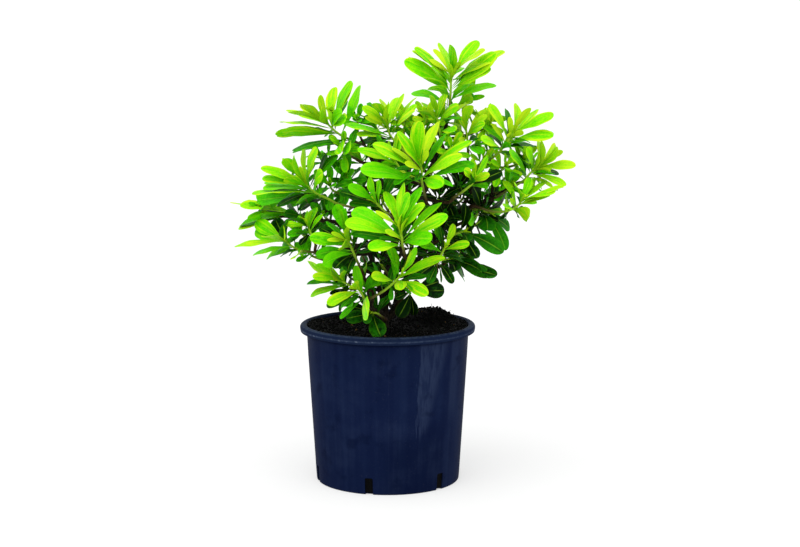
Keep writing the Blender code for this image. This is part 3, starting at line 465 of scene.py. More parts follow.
soil_edge = wall_radius(SOIL_TOP) - WALL - GAP
soil_foot = wall_radius(FLOOR) - WALL - GAP
top = [(soil_edge * i / BED_RINGS, SOIL_TOP) for i in range(BED_RINGS + 1)]
bed = turned("soil_bed", [*top, (soil_foot, FLOOR + GAP), (0, FLOOR + GAP)], BED_TURNS)
for vertex in bed.data.vertices:
    x, y, z = vertex.co / MM
    if z > SOIL_TOP - 1:
        vertex.co.z = soil_level(x, y, soil_edge) * MM

soil_finish = Finish("peaty_compost", specular_ior_level=0.06)
tone = soil_finish.attribute("tone")
fine = soil_finish.noise(soil_finish.place, 700.0, 4.0, 0.7)
broad = soil_finish.noise(soil_finish.place, 60.0, 3.0, 0.6)
peat = fine.mix((0.0009, 0.0011, 0.0011), (0.0028, 0.0028, 0.0029))
crumb = tone.step(0.88, 0.98).mix(peat, (0.006, 0.005, 0.0042))
chip = tone.step(0.99, 0.994).mix(crumb, (0.11, 0.062, 0.021))
soil_finish.paint(chip, 0.8 + broad * 0.15, fine, 0.6, 0.6)

scatter = Grower(
    "soil_crumbs", Density="Float", Lowest="Float", Smallest="Float", Largest="Float", Seed="Int",
    Finish="Material",
)
points = scatter.node(
    "GeometryNodeDistributePointsOnFaces",
    {"Mesh": scatter["Geometry"], "Density": scatter["Density"], "Seed": scatter["Seed"]},
)
height = scatter.node("GeometryNodeInputPosition").parts()[2]
high_up = {"Geometry": points, "Selection": height > scatter["Lowest"]}
points = scatter.node("GeometryNodeSeparateGeometry", high_up)
ball = scatter.node("GeometryNodeMeshIcoSphere", {"Radius": 1.0, "Subdivisions": 1})
size = scatter.chance(0.0, 1.0, 3) ** 3.0
size = scatter["Smallest"] + (scatter["Largest"] - scatter["Smallest"]) * size
flat = scatter.stripe(X=size, Y=size * scatter.chance(0.55, 1.0, 5), Z=size * scatter.chance(0.35, 0.9, 6))
toned = scatter.store(points, "tone", scatter.chance(0.0, 1.0, 8))
crumbs = scatter.node(
    "GeometryNodeInstanceOnPoints",
    {"Points": toned, "Instance": ball, "Rotation": scatter.any_turn(11), "Scale": flat},
)
real = scatter.node("GeometryNodeRealizeInstances", {"Geometry": crumbs})
where = scatter.node("GeometryNodeInputPosition")
lumps = (scatter.noise(where, 520.0, 1.0, out="Color") - (0.5, 0.5, 0.5)) * (CRUMB_STRAY * MM)
moved = scatter.node("GeometryNodeSetPosition", {"Geometry": real, "Offset": lumps})
scatter.finish(scatter.join(moved, scatter["Geometry"]))
soil = scatter.grow(
    "potting_soil", bed.data, Density=CRUMB_DENSITY, Lowest=(SOIL_TOP - SOIL_SWELL - 1) * MM,
    Smallest=CRUMB_SIZES[0] * MM, Largest=CRUMB_SIZES[1] * MM, Seed=4, Finish=soil_finish.material,
)
bpy.data.objects.remove(bed)
show(soil, "soil", soil_finish)


# Trunk
# The shrub's woody frame: a short trunk that forks low down, its limbs, and a twig to the foot of each leafy
# shoot. The old wood is rough and dark, the thin twigs smoother and redder. The shoots are laid out here too,
# because the twigs run to them. A few straws of the same bark stick up from the soil.
VIEWPOINT = Vector((0.0183, -2.62, 0.69))
LIMBS = {
    "main": [
        (-5, 1, 174, 7.4), (-5, 1, 236, 7.4), (-5, 2, 276, 6.4), (3, 6, 322, 5.4), (18, 9, 372, 4.8),
        (42, 11, 424, 4.0), (68, 11, 474, 3.3), (84, 9, 520, 2.6), (90, 8, 547, 2.1),
    ],
    "second": [
        (-3, 3, 238, 5.4), (9, 6, 252, 5.4), (16, 8, 272, 5.0), (26, 11, 296, 4.6), (50, 14, 334, 4.2),
        (82, 12, 376, 3.6), (108, 2, 400, 3.2), (130, -6, 412, 2.8), (152, -8, 420, 2.4),
    ],
    "left": [
        (-4, 2, 262, 5.0), (-14, -8, 296, 4.2), (-26, -18, 340, 3.4), (-36, -24, 378, 2.8),
        (-44, -26, 402, 2.4),
    ],
    "low_front": [
        (-5, 0, 244, 4.0), (-11, -32, 256, 3.4), (-17, -62, 264, 2.8), (-23, -88, 270, 2.4),
    ],
    "front": [
        (2, 4, 310, 4.2), (10, -40, 330, 3.6), (18, -92, 348, 2.9), (22, -132, 358, 2.3),
    ],
    "front_high": [(40, 11, 420, 3.6), (48, -30, 424, 3.0), (54, -70, 430, 2.4)],
    "upper_left": [(17, 9, 370, 3.8), (2, 8, 418, 3.2), (-16, 6, 462, 2.6), (-30, 5, 490, 2.1)],
    "back": [(3, 6, 318, 4.2), (10, 40, 360, 3.6), (22, 74, 400, 3.0), (30, 92, 440, 2.4)],
    "right_up": [(106, 3, 399, 3.0), (122, -6, 430, 2.6), (136, -12, 456, 2.2)],
}
# Readings on an elevation seen from VIEWPOINT. A stem is a row of (x, z), and depth is its first and last y.
# A blade is its tip's x and z, its side (1 is away from the viewer), its seen width, how far back on the stem
# it stands, its age and sometimes its arch. Ages near 3 also paint shade, making leaves deep in the bush near
# black.
SHOOT_FIELDS = ("stem", "depth", "reach", "far", "blades")
READINGS = {
    "front": ([(24, 342), (22, 352), (21, 362), (17, 378)], (-150, -170), 74, 1, [
        (-52, 402, 1, 20, 4, 1.8), (-63, 383, -1, 13, 4, 1.3), (-18, 401, -1, 6, 0, 0.2),
        (-1, 430, 1, 15, 0, 1.0), (24, 443, 1, 13, 0, 1.4), (49, 437, 1, 10, 0, 1.6),
        (33, 427, -1, 10, 0, 1.3), (55, 410, -1, 11, 0, 1.0), (79, 414, 1, 11, 4, 1.6),
        (89, 394, -1, 16, 8, 1.3), (66, 361, -1, 18, 14, 1.5), (-28, 345, -1, 14, 18, 1.3),
        (-52, 369, 1, 15, 12, 2.2), (-45, 340, 1, 10, 18, 2.6), (20, 396, -1, 5, 0, 0.0),
        (30, 392, -1, 5, 0, 0.2), (-4, 372, -1, 6, 4, 0.4),
    ]),
    "front_high": ([(55, 424), (52, 436), (50, 450), (50, 462), (47, 472)], (-96, -120), 78, 1, [
        (14, 517, -1, 14, 2, 1.3), (38, 530, 1, 13, 0, 1.4), (49, 533, -1, 17, 0, 1.3),
        (48, 512, -1, 6, 0, 0.0), (75, 533, 1, 15, 0, 0.8), (85, 515, 1, 9, 6, 2.0),
        (122, 505, 1, 12, 6, 1.4), (110, 482, -1, 13, 8, 1.1), (127, 472, 1, 14, 22, 1.8),
        (81, 438, -1, 20, 20, 1.4), (-40, 462, -1, 18, 22, 1.8), (-33, 468, 1, 6, 10, 0.2),
        (-22, 499, -1, 12, 4, 1.4), (6, 494, -1, 6, 2, 0.0), (25, 472, -1, 6, 2, 0.0),
        (60, 489, -1, 6, 0, 0.0), (78, 500, 1, 10, 3, 2.8),
    ]),
    "low_middle": ([(-22, 273), (-10, 280), (0, 287), (10, 296), (18, 304)], (-118, -130), 60, 1, [
        (2, 351, 1, 14, 0, 1.6), (43, 347, 1, 10, 0, 1.2), (85, 331, -1, 15, 0, 1.3),
        (60, 277, -1, 17, 4, 1.0), (20, 284, -1, 16, 2, 0.6), (-24, 304, -1, 10, 4, 1.0),
        (-38, 289, 1, 13, 10, 1.6), (60, 306, 1, 9, 6, 2.5),
    ]),
    "low_left_front": ([(-32, 266), (-36, 274), (-42, 284)], (-98, -110), 56, 1, [
        (-90, 263, -1, 15, 0, 0.8), (-70, 270, 1, 9, 3, 1.8), (-52, 292, -1, 16, 0, 0.6),
        (-31, 322, 1, 10, 0, 1.1), (-29, 245, -1, 15, 18, 1.0),
    ]),
    "right_mid_low": ([(72, 320), (78, 334), (84, 346)], (-66, -76), 44, 1, [
        (98, 382, 1, 9, 0, 1.0), (121, 353, -1, 11, 0, 1.0), (47, 354, 1, 11, 4, 1.6),
        (97, 294, -1, 12, 24, 2.8), (62, 330, 1, 10, 10, 2.8), (76, 382, 1, 9, 0, 2.6),
    ]),
    "low_left": ([(-34, 284), (-52, 289), (-68, 298)], (-74, -80), 52, 2, [
        (-118, 327, 1, 10, 2, 1.0), (-111, 303, -1, 12, 0, 0.7), (-119, 294, 1, 5, 8, 2.3),
        (-84, 313, -1, 9, 0, 0.8), (-60, 316, -1, 9, 0, 1.0), (-95, 320, 1, 6, 0, 1.4),
        (-114, 276, 1, 10, 8, 1.0), (-84, 268, 1, 10, 20, 2.8),
    ]),
    "middle_left": ([(-40, 316), (-47, 332), (-53, 346), (-60, 361)], (-94, -100), 62, 1, [
        (-77, 411, -1, 18, 0, 1.5), (-63, 404, 1, 11, 0, 2.0), (-68, 348, -1, 16, 6, 1.0),
        (-89, 358, -1, 5, 0, 0.0), (-83, 369, -1, 5, 0, 0.0), (-88, 386, 1, 10, 0, 1.8),
        (-115, 362, -1, 18, 4, 1.4), (-54, 382, -1, 8, 0, 0.9), (-96, 322, -1, 20, 18, 1.8),
        (-106, 336, 1, 16, 14, 2.0), (-78, 316, -1, 14, 24, 3.0), (-59, 312, -1, 13, 30, 3.0),
        (-100, 377, 1, 12, 6, 3.0), (-20, 352, 1, 10, 16, 3.0),
    ]),
    "right_low": ([
        (140, 405), (155, 401), (172, 401), (185, 405), (193, 411), (197, 417),
    ], (-28, -42), 60, 2, [
        (259, 437, -1, 8, 4, 0.8), (247, 430, -1, 6, 0, 1.0), (239, 424, -1, 10, 2, 1.0),
        (206, 390, -1, 14, 18, 0.8), (171, 447, 1, 9, 2, 1.0), (187, 440, -1, 7, 0, 1.0),
        (217, 449, 1, 10, 0, 1.0), (180, 419, -1, 6, 4, 0.5), (188, 412, 1, 14, 26, 3.0),
        (207, 398, 1, 9, 12, 3.0), (232, 446, 1, 7, 0, 1.0), (167, 394, 1, 7, 24, 3.0),
    ]),
    "left_up": ([
        (-50, 407), (-60, 409), (-75, 413), (-88, 420), (-105, 428), (-117, 438), (-122, 445),
    ], (-26, -32), 66, 2, [
        (-186, 464, -1, 12, 4, 1.0), (-151, 479, 1, 11, 0, 0.6), (-138, 481, -1, 9, 0, 1.0),
        (-121, 501, 1, 9, 0, 1.0), (-103, 495, -1, 10, 0, 1.0), (-156, 457, -1, 6, 0, 0.0),
        (-150, 450, -1, 12, 4, 1.0), (-128, 468, -1, 6, 0, 0.0), (-95, 459, -1, 9, 10, 1.0),
        (-87, 489, 1, 6, 14, 3.0), (-180, 444, 1, 10, 8, 1.5), (-183, 434, -1, 7, 12, 1.5),
        (-199, 426, -1, 9, 14, 1.0), (-192, 417, 1, 18, 20, 2.2, 0.2), (-133, 414, -1, 6, 24, 1.5),
        (-127, 404, 1, 9, 42, 3.0),
    ]),
    "crown": ([(90, 548), (92, 575), (93, 602)], (8, 10), 74, 4, [
        (24, 620, -1, 20, 14, 1.6), (31, 627, 1, 7, 4, 1.0), (39, 639, -1, 12, 2, 1.5),
        (61, 622, -1, 7, 0, 0.0), (67, 638, 1, 6, 0, 0.0), (77, 646, 1, 13, 0, 1.0),
        (95, 642, -1, 13, 0, 1.9), (131, 653, 1, 15, 0, 1.2), (145, 632, 1, 6, 4, 1.0),
        (158, 632, -1, 18, 10, 1.4, -0.1), (169, 636, 1, 15, 6, 1.5), (151, 609, -1, 14, 20, 1.4),
        (158, 586, 1, 13, 38, 1.9), (122, 588, -1, 10, 42, 1.8), (62, 583, -1, 12, 27, 1.5),
        (36, 575, 1, 11, 46, 1.9), (62, 612, 1, 14, 18, 1.9), (55, 596, -1, 10, 22, 1.5),
        (92, 616, -1, 6, 0, 0.0), (106, 620, -1, 6, 0, 0.3),
    ]),
    "upper_left": ([(-38, 500), (-62, 510), (-75, 518), (-88, 530)], (4, 10), 72, 3, [
        (-164, 516, -1, 16, 24, 1.4, 0.2), (-121, 515, 1, 9, 19, 3.0), (-157, 532, 1, 6, 5, 1.0),
        (-145, 546, -1, 9, 0, 1.0), (-124, 556, 1, 13, 0, 1.0), (-98, 572, -1, 10, 0, 0.5),
        (-77, 583, 1, 17, 2, 1.3), (-50, 589, -1, 9, 8, 1.8), (-40, 586, 1, 14, 26, 2.0, -0.6),
        (-60, 562, 1, 12, 12, 3.0), (-96, 551, -1, 12, 0, 1.0), (-68, 487, -1, 7, 34, 1.4),
        (-57, 488, -1, 11, 42, 1.5), (-48, 519, 1, 9, 52, 2.5), (-138, 489, 1, 9, 54, 2.5),
    ]),
    "right_top": ([(143, 468), (152, 478), (165, 490), (175, 503), (184, 516)], (-14, -20), 64, 3, [
        (147, 557, -1, 10, 2, 1.4), (173, 551, 1, 8, 2, 3.0), (189, 558, 1, 11, 0, 1.3),
        (209, 553, -1, 9, 0, 0.5), (219, 551, 1, 7, 2, 1.4), (243, 543, -1, 12, 0, 1.4),
        (242, 517, 1, 14, 16, 2.0), (175, 514, -1, 8, 0, 0.0), (199, 518, -1, 8, 0, 0.2),
        (153, 529, -1, 6, 4, 0.0), (135, 531, 1, 12, 10, 2.0), (178, 540, -1, 7, 0, 0.5),
        (137, 506, -1, 8, 26, 1.0), (216, 497, 1, 8, 20, 3.0), (148, 514, 1, 10, 22, 3.0),
        (196, 478, 1, 9, 36, 2.4),
    ]),
    "right": ([(160, 422), (178, 433), (200, 447), (210, 458), (222, 466)], (-8, -12), 60, 3, [
        (250, 493, -1, 12, 0, 1.0), (221, 505, 1, 9, 0, 1.0), (276, 468, -1, 13, 0, 0.7),
        (250, 459, 1, 9, 18, 3.0), (239, 460, -1, 6, 0, 0.0), (241, 477, -1, 5, 0, 0.5),
        (222, 486, -1, 5, 0, 0.5), (193, 496, 1, 6, 8, 1.5), (203, 494, -1, 6, 6, 1.5),
        (190, 486, 1, 9, 24, 3.0), (178, 490, -1, 10, 22, 1.5), (172, 404, -1, 6, 62, 1.0),
        (172, 470, 1, 7, 44, 2.2),
    ]),
    "top_left": ([(45, 470), (32, 483), (15, 500), (3, 515), (0, 533)], (-10, -20), 60, 2, [
        (-37, 553, -1, 12, 2, 1.0), (-33, 539, -1, 6, 2, 0.0), (-29, 560, 1, 8, 4, 2.5),
        (-19, 560, -1, 12, 0, 1.0), (-8, 564, 1, 8, 0, 1.0), (0, 558, -1, 7, 0, 1.0),
        (14, 568, 1, 14, 0, 1.0), (24, 574, 1, 6, 2, 1.0), (42, 568, 1, 5, 4, 1.0), (43, 557, -1, 8, 14, 1.5),
        (40, 548, -1, 6, 10, 1.0), (-62, 528, -1, 10, 14, 1.5), (-45, 513, -1, 6, 22, 1.0),
        (-9, 541, -1, 5, 0, 0.0), (-35, 503, 1, 10, 26, 3.0), (-14, 490, 1, 10, 34, 3.0),
    ]),
    "left_low": ([(-105, 340), (-128, 343), (-142, 350), (-150, 357)], (-34, -42), 68, 2, [
        (-226, 348, -1, 9, 0, 0.8), (-198, 337, 1, 9, 10, 1.5), (-177, 333, 1, 8, 26, 1.3),
        (-137, 332, -1, 5, 36, 0.6), (-131, 338, -1, 12, 34, 1.5), (-195, 373, 1, 20, 0, 1.6),
        (-165, 390, 1, 20, 0, 2.8), (-183, 363, -1, 9, 0, 1.0), (-152, 376, -1, 7, 0, 0.6),
    ]),
    "right_sprig": ([(98, 422), (110, 430), (122, 440), (128, 448)], (-70, -82), 40, 1, [
        (112, 462, -1, 10, 0, 1.0), (125, 478, 1, 8, 0, 1.0), (147, 483, 1, 8, 0, 1.5),
        (150, 455, -1, 11, 0, 1.0), (168, 460, 1, 14, 14, 3.0),
    ]),
    "left_small": ([(-106, 352), (-112, 364), (-117, 380)], (-66, -70), 36, 1, [
        (-151, 381, -1, 7, 0, 1.2), (-130, 393, -1, 6, 0, 0.8), (-119, 401, 1, 6, 0, 1.2),
        (-111, 402, -1, 6, 0, 1.3), (-96, 397, 1, 6, 2, 1.3), (-129, 351, -1, 8, 12, 3.0),
    ]),
    "soil_front": ([(-9, 244), (-16, 249), (-23, 250)], (-50, -74), 52, 0, [
        (-10, 214, -1, 24, 0, 2.95), (-62, 241, -1, 18, 3, 3.0), (-36, 236, -1, 16, 1, 3.0),
    ]),
    "soil_right": ([(22, 272), (30, 280), (36, 283)], (-20, -30), 44, 0, [
        (16, 243, -1, 20, 0, 2.9), (38, 246, 1, 14, 2, 3.0), (84, 283, 1, 22, 0, 3.0),
    ]),
    "middle": ([(8, 392), (-6, 403), (-17, 414)], (-90, -96), 50, 1, [
        (-58, 439, -1, 13, 0, 1.7), (-27, 452, 1, 10, 0, 1.6), (-56, 414, 1, 12, 2, 2.2),
        (-70, 430, 1, 12, 0, 3.0), (-10, 446, -1, 6, 0, 1.5), (14, 452, 1, 10, 2, 2.4),
    ]),
    "centre_left": ([(46, 444), (33, 453), (20, 463), (10, 476)], (-80, -84), 56, 1, [
        (-44, 491, -1, 11, 2, 1.5), (-10, 470, -1, 9, 6, 1.5), (-16, 512, 1, 8, 0, 2.4),
        (14, 512, 1, 6, 0, 1.5), (2, 505, -1, 6, 0, 1.2),
    ]),
    "top_middle": ([(80, 500), (76, 520), (72, 540)], (-4, -12), 56, 1, [
        (45, 548, -1, 9, 2, 1.5), (53, 560, 1, 9, 0, 1.0), (65, 570, -1, 9, 0, 1.0), (84, 574, 1, 10, 0, 1.0),
        (122, 561, 1, 6, 4, 0.5), (104, 556, -1, 10, 2, 1.5), (52, 512, 1, 10, 22, 2.6),
        (100, 520, -1, 8, 24, 1.6),
    ]),
    "top_right_inner": ([(118, 488), (117, 505), (115, 522)], (0, -10), 54, 1, [
        (121, 557, -1, 14, 0, 1.0), (144, 552, 1, 9, 2, 1.0), (146, 541, -1, 9, 3, 1.0),
        (108, 541, -1, 6, 0, 0.5), (112, 560, 1, 8, 0, 1.0), (100, 548, 1, 8, 0, 1.0),
        (104, 505, -1, 6, 8, 0.2), (92, 532, 1, 4, 8, 0.6), (142, 529, -1, 8, 6, 1.5),
        (138, 486, -1, 10, 26, 2.0), (96, 486, 1, 9, 28, 2.6), (135, 508, 1, 10, 18, 2.4),
    ]),
    "left_dark": ([(-100, 388), (-120, 393), (-138, 398)], (16, 22), 70, 2, [
        (-217, 380, 1, 9, 8, 2.4), (-203, 391, -1, 6, 0, 1.0), (-217, 409, -1, 13, 2, 0.9),
        (-188, 404, 1, 12, 0, 3.0), (-160, 376, 1, 10, 18, 3.0), (-150, 424, 1, 9, 4, 2.8),
        (-230, 414, 1, 6, 0, 0.7),
    ]),
    "dark_right_high": ([(118, 404), (134, 404), (148, 400)], (4, 2), 62, 1, [
        (180, 376, 1, 14, 2, 2.75), (174, 343, -1, 18, 8, 2.8), (147, 373, -1, 24, 8, 2.85),
        (119, 384, -1, 8, 24, 1.8), (158, 452, 1, 12, 0, 3.0), (124, 440, -1, 14, 14, 3.0),
        (172, 424, 1, 10, 0, 3.0),
    ]),
    "dark_right_middle": ([(82, 360), (96, 366), (110, 371)], (-30, -34), 66, 1, [
        (171, 340, -1, 22, 0, 2.85), (132, 331, -1, 14, 3, 2.8), (118, 356, -1, 16, 2, 3.0),
        (115, 412, -1, 14, 2, 3.0), (90, 410, 1, 16, 8, 3.0), (86, 384, -1, 14, 10, 3.0),
    ]),
    "dark_right_low": ([(58, 322), (76, 328), (94, 331)], (-20, -24), 66, 1, [
        (162, 306, -1, 18, 2, 2.85, -0.4), (112, 300, 1, 10, 4, 2.7), (100, 312, -1, 20, 4, 3.0),
        (124, 342, 1, 14, 0, 2.8), (78, 362, 1, 14, 10, 3.0),
    ]),
}
SHOOTS = {name: dict(zip(SHOOT_FIELDS, reading)) for name, reading in READINGS.items()}
# A far shoot is its tip, with the count, length and age of its leaves. The inner and back shoots have no
# solid: each is a guest that joins the pieces of the nearest shoot. The added blades have no solid either.
FAR_SHOOTS = {
    "far_crown": ((112, 62, 560), 8, 60, 1.3), "far_right_top": ((178, 84, 492), 8, 62, 1.5),
    "far_top": ((44, 100, 508), 8, 64, 1.5), "far_upper_left": ((-42, 92, 470), 8, 62, 1.6),
    "far_left": ((-112, 88, 418), 8, 62, 1.7), "far_right": ((152, 108, 420), 8, 62, 1.9),
    "far_middle": ((34, 146, 420), 8, 64, 2.0), "far_low_left": ((-56, 112, 344), 8, 60, 2.4),
    "far_low_right": ((96, 104, 342), 8, 60, 2.6), "far_low": ((8, 104, 300), 7, 54, 2.7),
}
# Inner shoots with ages near or past 3 get near-black leaves: painted shade in the dark inside of the bush.
INNER_SHOOTS = {
    "behind_left_up": (-84, 440, 0, 10, 52, 1.9), "left_gap": (-60, 452, 10, 9, 50, 2.2),
    "behind_upper_left": (-66, 496, 0, 9, 44, 1.6), "under_top": (94, 492, -16, 9, 46, 1.4),
    "top_gap": (58, 540, 0, 9, 40, 0.9), "crown_shade": (26, 534, -4, 9, 42, 1.1),
    "under_right_top": (140, 478, -16, 9, 42, 1.4), "top_right_gap": (150, 532, 6, 9, 38, 0.9),
    "under_right": (172, 468, -16, 9, 42, 1.3), "behind_right": (198, 478, 14, 9, 42, 1.2),
    "dark_middle": (76, 424, -20, 10, 50, 3.2), "dark_middle_high": (104, 436, 0, 10, 50, 3.2),
    "dark_middle_low": (82, 396, -16, 10, 46, 3.2), "behind_sprig": (180, 440, 0, 9, 42, 1.9),
    "low_dark": (-10, 330, -30, 9, 44, 3.2), "low_left_dark": (-58, 310, -24, 8, 40, 2.9),
    "over_soil": (-66, 290, -44, 9, 38, 2.9), "left_shade": (-94, 398, -8, 10, 46, 2.3),
    "left_thin": (-128, 372, -14, 9, 42, 1.9), "right_shade": (134, 400, 6, 10, 48, 3.2),
    "middle_shade": (26, 474, 10, 10, 48, 2.5), "top_left_gap": (-44, 536, 6, 9, 40, 2.3),
    "upper_left_top": (-80, 546, 14, 7, 26, 1.4), "low_right_dark": (108, 342, 0, 10, 38, 3.2),
    "left_low_gap": (-116, 342, -8, 8, 38, 1.8), "left_end": (-186, 408, 10, 8, 40, 1.6),
    "right_end": (228, 456, 0, 8, 36, 0.9), "middle_gap": (-8, 424, -10, 9, 46, 2.7),
    "front_gap": (34, 350, -60, 8, 40, 3.1), "dark_gap": (112, 424, 2, 8, 34, 3.2),
}
ADDED_BLADES = {
    "left_up": [
        (-151, 479, -1, 15, 3, 0.8), (-184, 448, -1, 13, 6, 0.9), (-162, 408, -1, 10, 22, 2.6),
        (-74, 485, 1, 11, 14, 1.9),
    ],
    "left_dark": [(-216, 381, -1, 11, 6, 1.7), (-219, 377, 1, 13, 8, 1.1)],
    "left_low": [(-194, 386, 1, 20, 2, 1.4), (-150, 384, -1, 14, 6, 2.6)],
    "upper_left": [
        (-139, 490, -1, 12, 46, 2.4), (-51, 591, -1, 11, 10, 1.7), (-124, 558, -1, 13, 3, 0.9),
        (-147, 550, 1, 9, 4, 0.9), (-66, 545, -1, 13, 8, 2.0), (-162, 513, -1, 13, 22, 1.2),
        (-60, 537, -1, 11, 6, 1.4),
    ],
    "right_mid_low": [(46, 306, -1, 12, 24, 2.9), (60, 294, -1, 13, 26, 2.9)],
    "soil_right": [(76, 297, 1, 20, 1, 3.0)], "low_left": [(-106, 322, -1, 12, 4, 1.4)],
    "left_small": [(-148, 367, -1, 10, 10, 2.0)],
    "crown": [
        (160, 626, -1, 12, 12, 1.3), (142, 636, -1, 6, 3, 0.6), (36, 635, -1, 10, 3, 0.9),
    ],
    "right": [
        (246, 499, 1, 12, 1, 1.0), (257, 490, -1, 9, 2, 0.5), (262, 439, -1, 10, 16, 0.9),
        (248, 432, 1, 7, 22, 1.1), (226, 505, -1, 11, 2, 0.9),
    ],
    "right_low": [(172, 408, -1, 7, 20, 1.3), (208, 392, -1, 15, 16, 0.7)],
    "right_top": [(243, 512, -1, 14, 16, 1.6)],
    "dark_right_low": [(150, 303, -1, 18, 5, 2.8), (138, 313, -1, 16, 4, 2.85)],
    "low_left_front": [(-90, 258, -1, 12, 4, 2.9)],
}
BARE_SHOOTS = ("crown", "upper_left")
INNER_REACH = 18.0
INNER_FOOT = 20.0
INNER_DROP = 45.0
INNER_SIDE = 2.0
INNER_FRONT = -0.8
INNER_UP = 0.5
BACK_SHOOTS = {
    "back_top": ((84, 44, 538), 9, 46, 1.5), "back_crown": ((64, 58, 530), 9, 48, 1.6),
    "back_high_left": ((-20, 66, 526), 9, 50, 2.1), "back_high_right": ((146, 50, 530), 9, 50, 1.6),
    "back_left": ((-96, 56, 474), 9, 52, 1.8), "back_left_end": ((-152, 62, 430), 8, 50, 1.7),
    "back_right_end": ((206, 58, 462), 8, 50, 1.8), "back_middle": ((76, 110, 462), 9, 54, 2.0),
    "back_middle_left": ((-6, 128, 452), 9, 52, 2.0), "back_low_left": ((-96, 96, 372), 9, 50, 2.2),
    "back_low_right": ((140, 88, 376), 9, 50, 2.4), "back_low": ((44, 128, 364), 9, 50, 2.4),
    "back_lowest": ((-20, 84, 308), 8, 44, 2.6), "back_inside": ((24, 60, 466), 9, 54, 2.3),
    "back_inside_left": ((-48, 52, 420), 9, 54, 2.4), "back_inside_right": ((110, 62, 430), 9, 54, 2.4),
    "inside_top": ((44, 20, 500), 9, 50, 2.0),
}
FAR_STEM = 46.0
FAR_MIDDLE = Vector((20.0, 5.0, 0.0))
FAR_SPREAD = 3.0
FAR_RISE = 220.0
FAR_FOOT_LEAN = 0.7
FAR_FOOT_RISE = Vector((0.0, 0.0, 0.3))
STEM_BASE_RADIUS = 1.9
STEM_TIP_RADIUS = 1.5
STEM_GREEN = 0.3
TWIG_RADIUS = 2.2
TWIG_BASE_RADIUS = 3.0
TWIG_SHARE = 0.8
SPOT_SHARES = (0.0, 0.33, 0.67, 1.0)
LOWEST_TWIG = 236.0
LEAST_RISE = 4.0
TWIG_CLIMB = 0.7
CLIMB_COST = 25.0
ELBOW_SHARE = 0.4
ELBOW_REACH = 14.0
TWIG_GREENS = (0.08, 0.18, 0.32)
LIMB_GREEN = 0.22
LIMB_GREEN_LOSS = 0.05


def at(x, z, depth):
    """The point that the elevation shows at (x, z), carried along its sight line to the depth y."""
    flat = Vector((x, 0.0, z)) * MM
    return flat + (VIEWPOINT - flat) * (depth * MM / VIEWPOINT.y)


def stem_path(shoot):
    first, last = shoot["depth"]
    stops = len(shoot["stem"]) - 1
    return [at(x, z, first + (last - first) * i / stops) for i, (x, z) in enumerate(shoot["stem"])]


def far_path(tip):
    """The stem of a far shoot: it rises outwards from the middle of the plant."""
    end = Vector(tip) * MM
    lean = (end / MM - FAR_MIDDLE) * FAR_SPREAD
    way = Vector((lean.x, lean.y, FAR_RISE)).normalized()
    middle = end - way * FAR_STEM * MM / 2
    foot = (way * FAR_FOOT_LEAN + FAR_FOOT_RISE).normalized()
    return [middle - foot * FAR_STEM * MM / 2, middle, end]


def inner_path(x, z, depth):
    """The stem of an inner shoot: it leaves the middle of the plant and turns to the front."""
    end = at(x, z, depth)
    middle = end - Vector((end.x * INNER_SIDE, INNER_FRONT, INNER_UP)).normalized() * INNER_REACH * MM
    core = Vector((FAR_MIDDLE.x, FAR_MIDDLE.y, middle.z / MM - INNER_DROP)) * MM
    return [middle - (middle - core).normalized() * INNER_FOOT * MM, middle, end]


def twig_start(limbs, end):
    """Where a twig leaves the limbs for its end, near, lower and at an easy climb, and the limb's radius."""
    spots = []
    for limb in limbs:
        for (a, first), (b, last) in zip(limb, limb[1:]):
            for share in SPOT_SHARES:
                spot = a.lerp(b, share)
                if LOWEST_TWIG * MM < spot.z < end.z - LEAST_RISE * MM:
                    climb = (end - spot).normalized().z
                    cost = (end - spot).length + abs(climb - TWIG_CLIMB) * CLIMB_COST * MM
                    spots.append((cost, len(spots), spot, first + (last - first) * share))
    return min(spots)[2:]


def store(mesh, key, values):
    """Numbers for the mesh's points, under the attribute's name."""
    mesh.attributes.new(key, "FLOAT", "POINT").data.foreach_set("value", values)


def rods(name, lines):
    """Lines of (place, radius, greenness) as edges, each with its radius and its greenness as attributes."""
    mesh = bpy.data.meshes.new(name)
    spots = [spot for line in lines for spot in line]
    edges = []
    for line in lines:
        first = edges[-1][1] + 1 if edges else 0
        edges += [(first + i, first + i + 1) for i in range(len(line) - 1)]
    mesh.from_pydata([place for place, _, _ in spots], edges, [])
    store(mesh, "thick", [radius * MM for _, radius, _ in spots])
    store(mesh, "green", [green for _, _, green in spots])
    return mesh


wood = Grower(
    "wood", Step="Float", Sides="Int", Knots="Float", Spacing="Float", Rough="Float", Finish="Material"
)
line = wood.node("GeometryNodeMeshToCurve", {"Mesh": wood["Geometry"]})
line = wood.node("GeometryNodeCurveSplineType", {"Curve": line}, spline_type="CATMULL_ROM")
line = wood.node("GeometryNodeResampleCurve", {"Curve": line, "Length": wood["Step"]}, mode="LENGTH")
reach = wood.node("GeometryNodeSplineParameter", out="Length")
line = wood.store(line, "reach", reach)
ring = (reach * math.tau / wood["Spacing"]).cos().high(0.0) ** 8.0
knot = 1.0 + ring * wood["Knots"]
outline = wood.node("GeometryNodeCurvePrimitiveCircle", {"Resolution": wood["Sides"], "Radius": 1.0})
tube = wood.node(
    "GeometryNodeCurveToMesh",
    {"Curve": line, "Profile Curve": outline, "Scale": wood.attribute("thick") * knot, "Fill Caps": True},
)
lump = wood.noise(wood.node("GeometryNodeInputPosition") * (1.0, 1.0, 0.45), 300.0, 3.0, 0.6) - 0.5
lump = lump + (wood.noise(wood.node("GeometryNodeInputPosition"), 75.0, 1.0) - 0.5) * 1.6
push = wood.node("GeometryNodeInputNormal") * (lump * wood.attribute("thick") * wood["Rough"])
tube = wood.node("GeometryNodeSetPosition", {"Geometry": tube, "Offset": push})
wood.finish(tube)

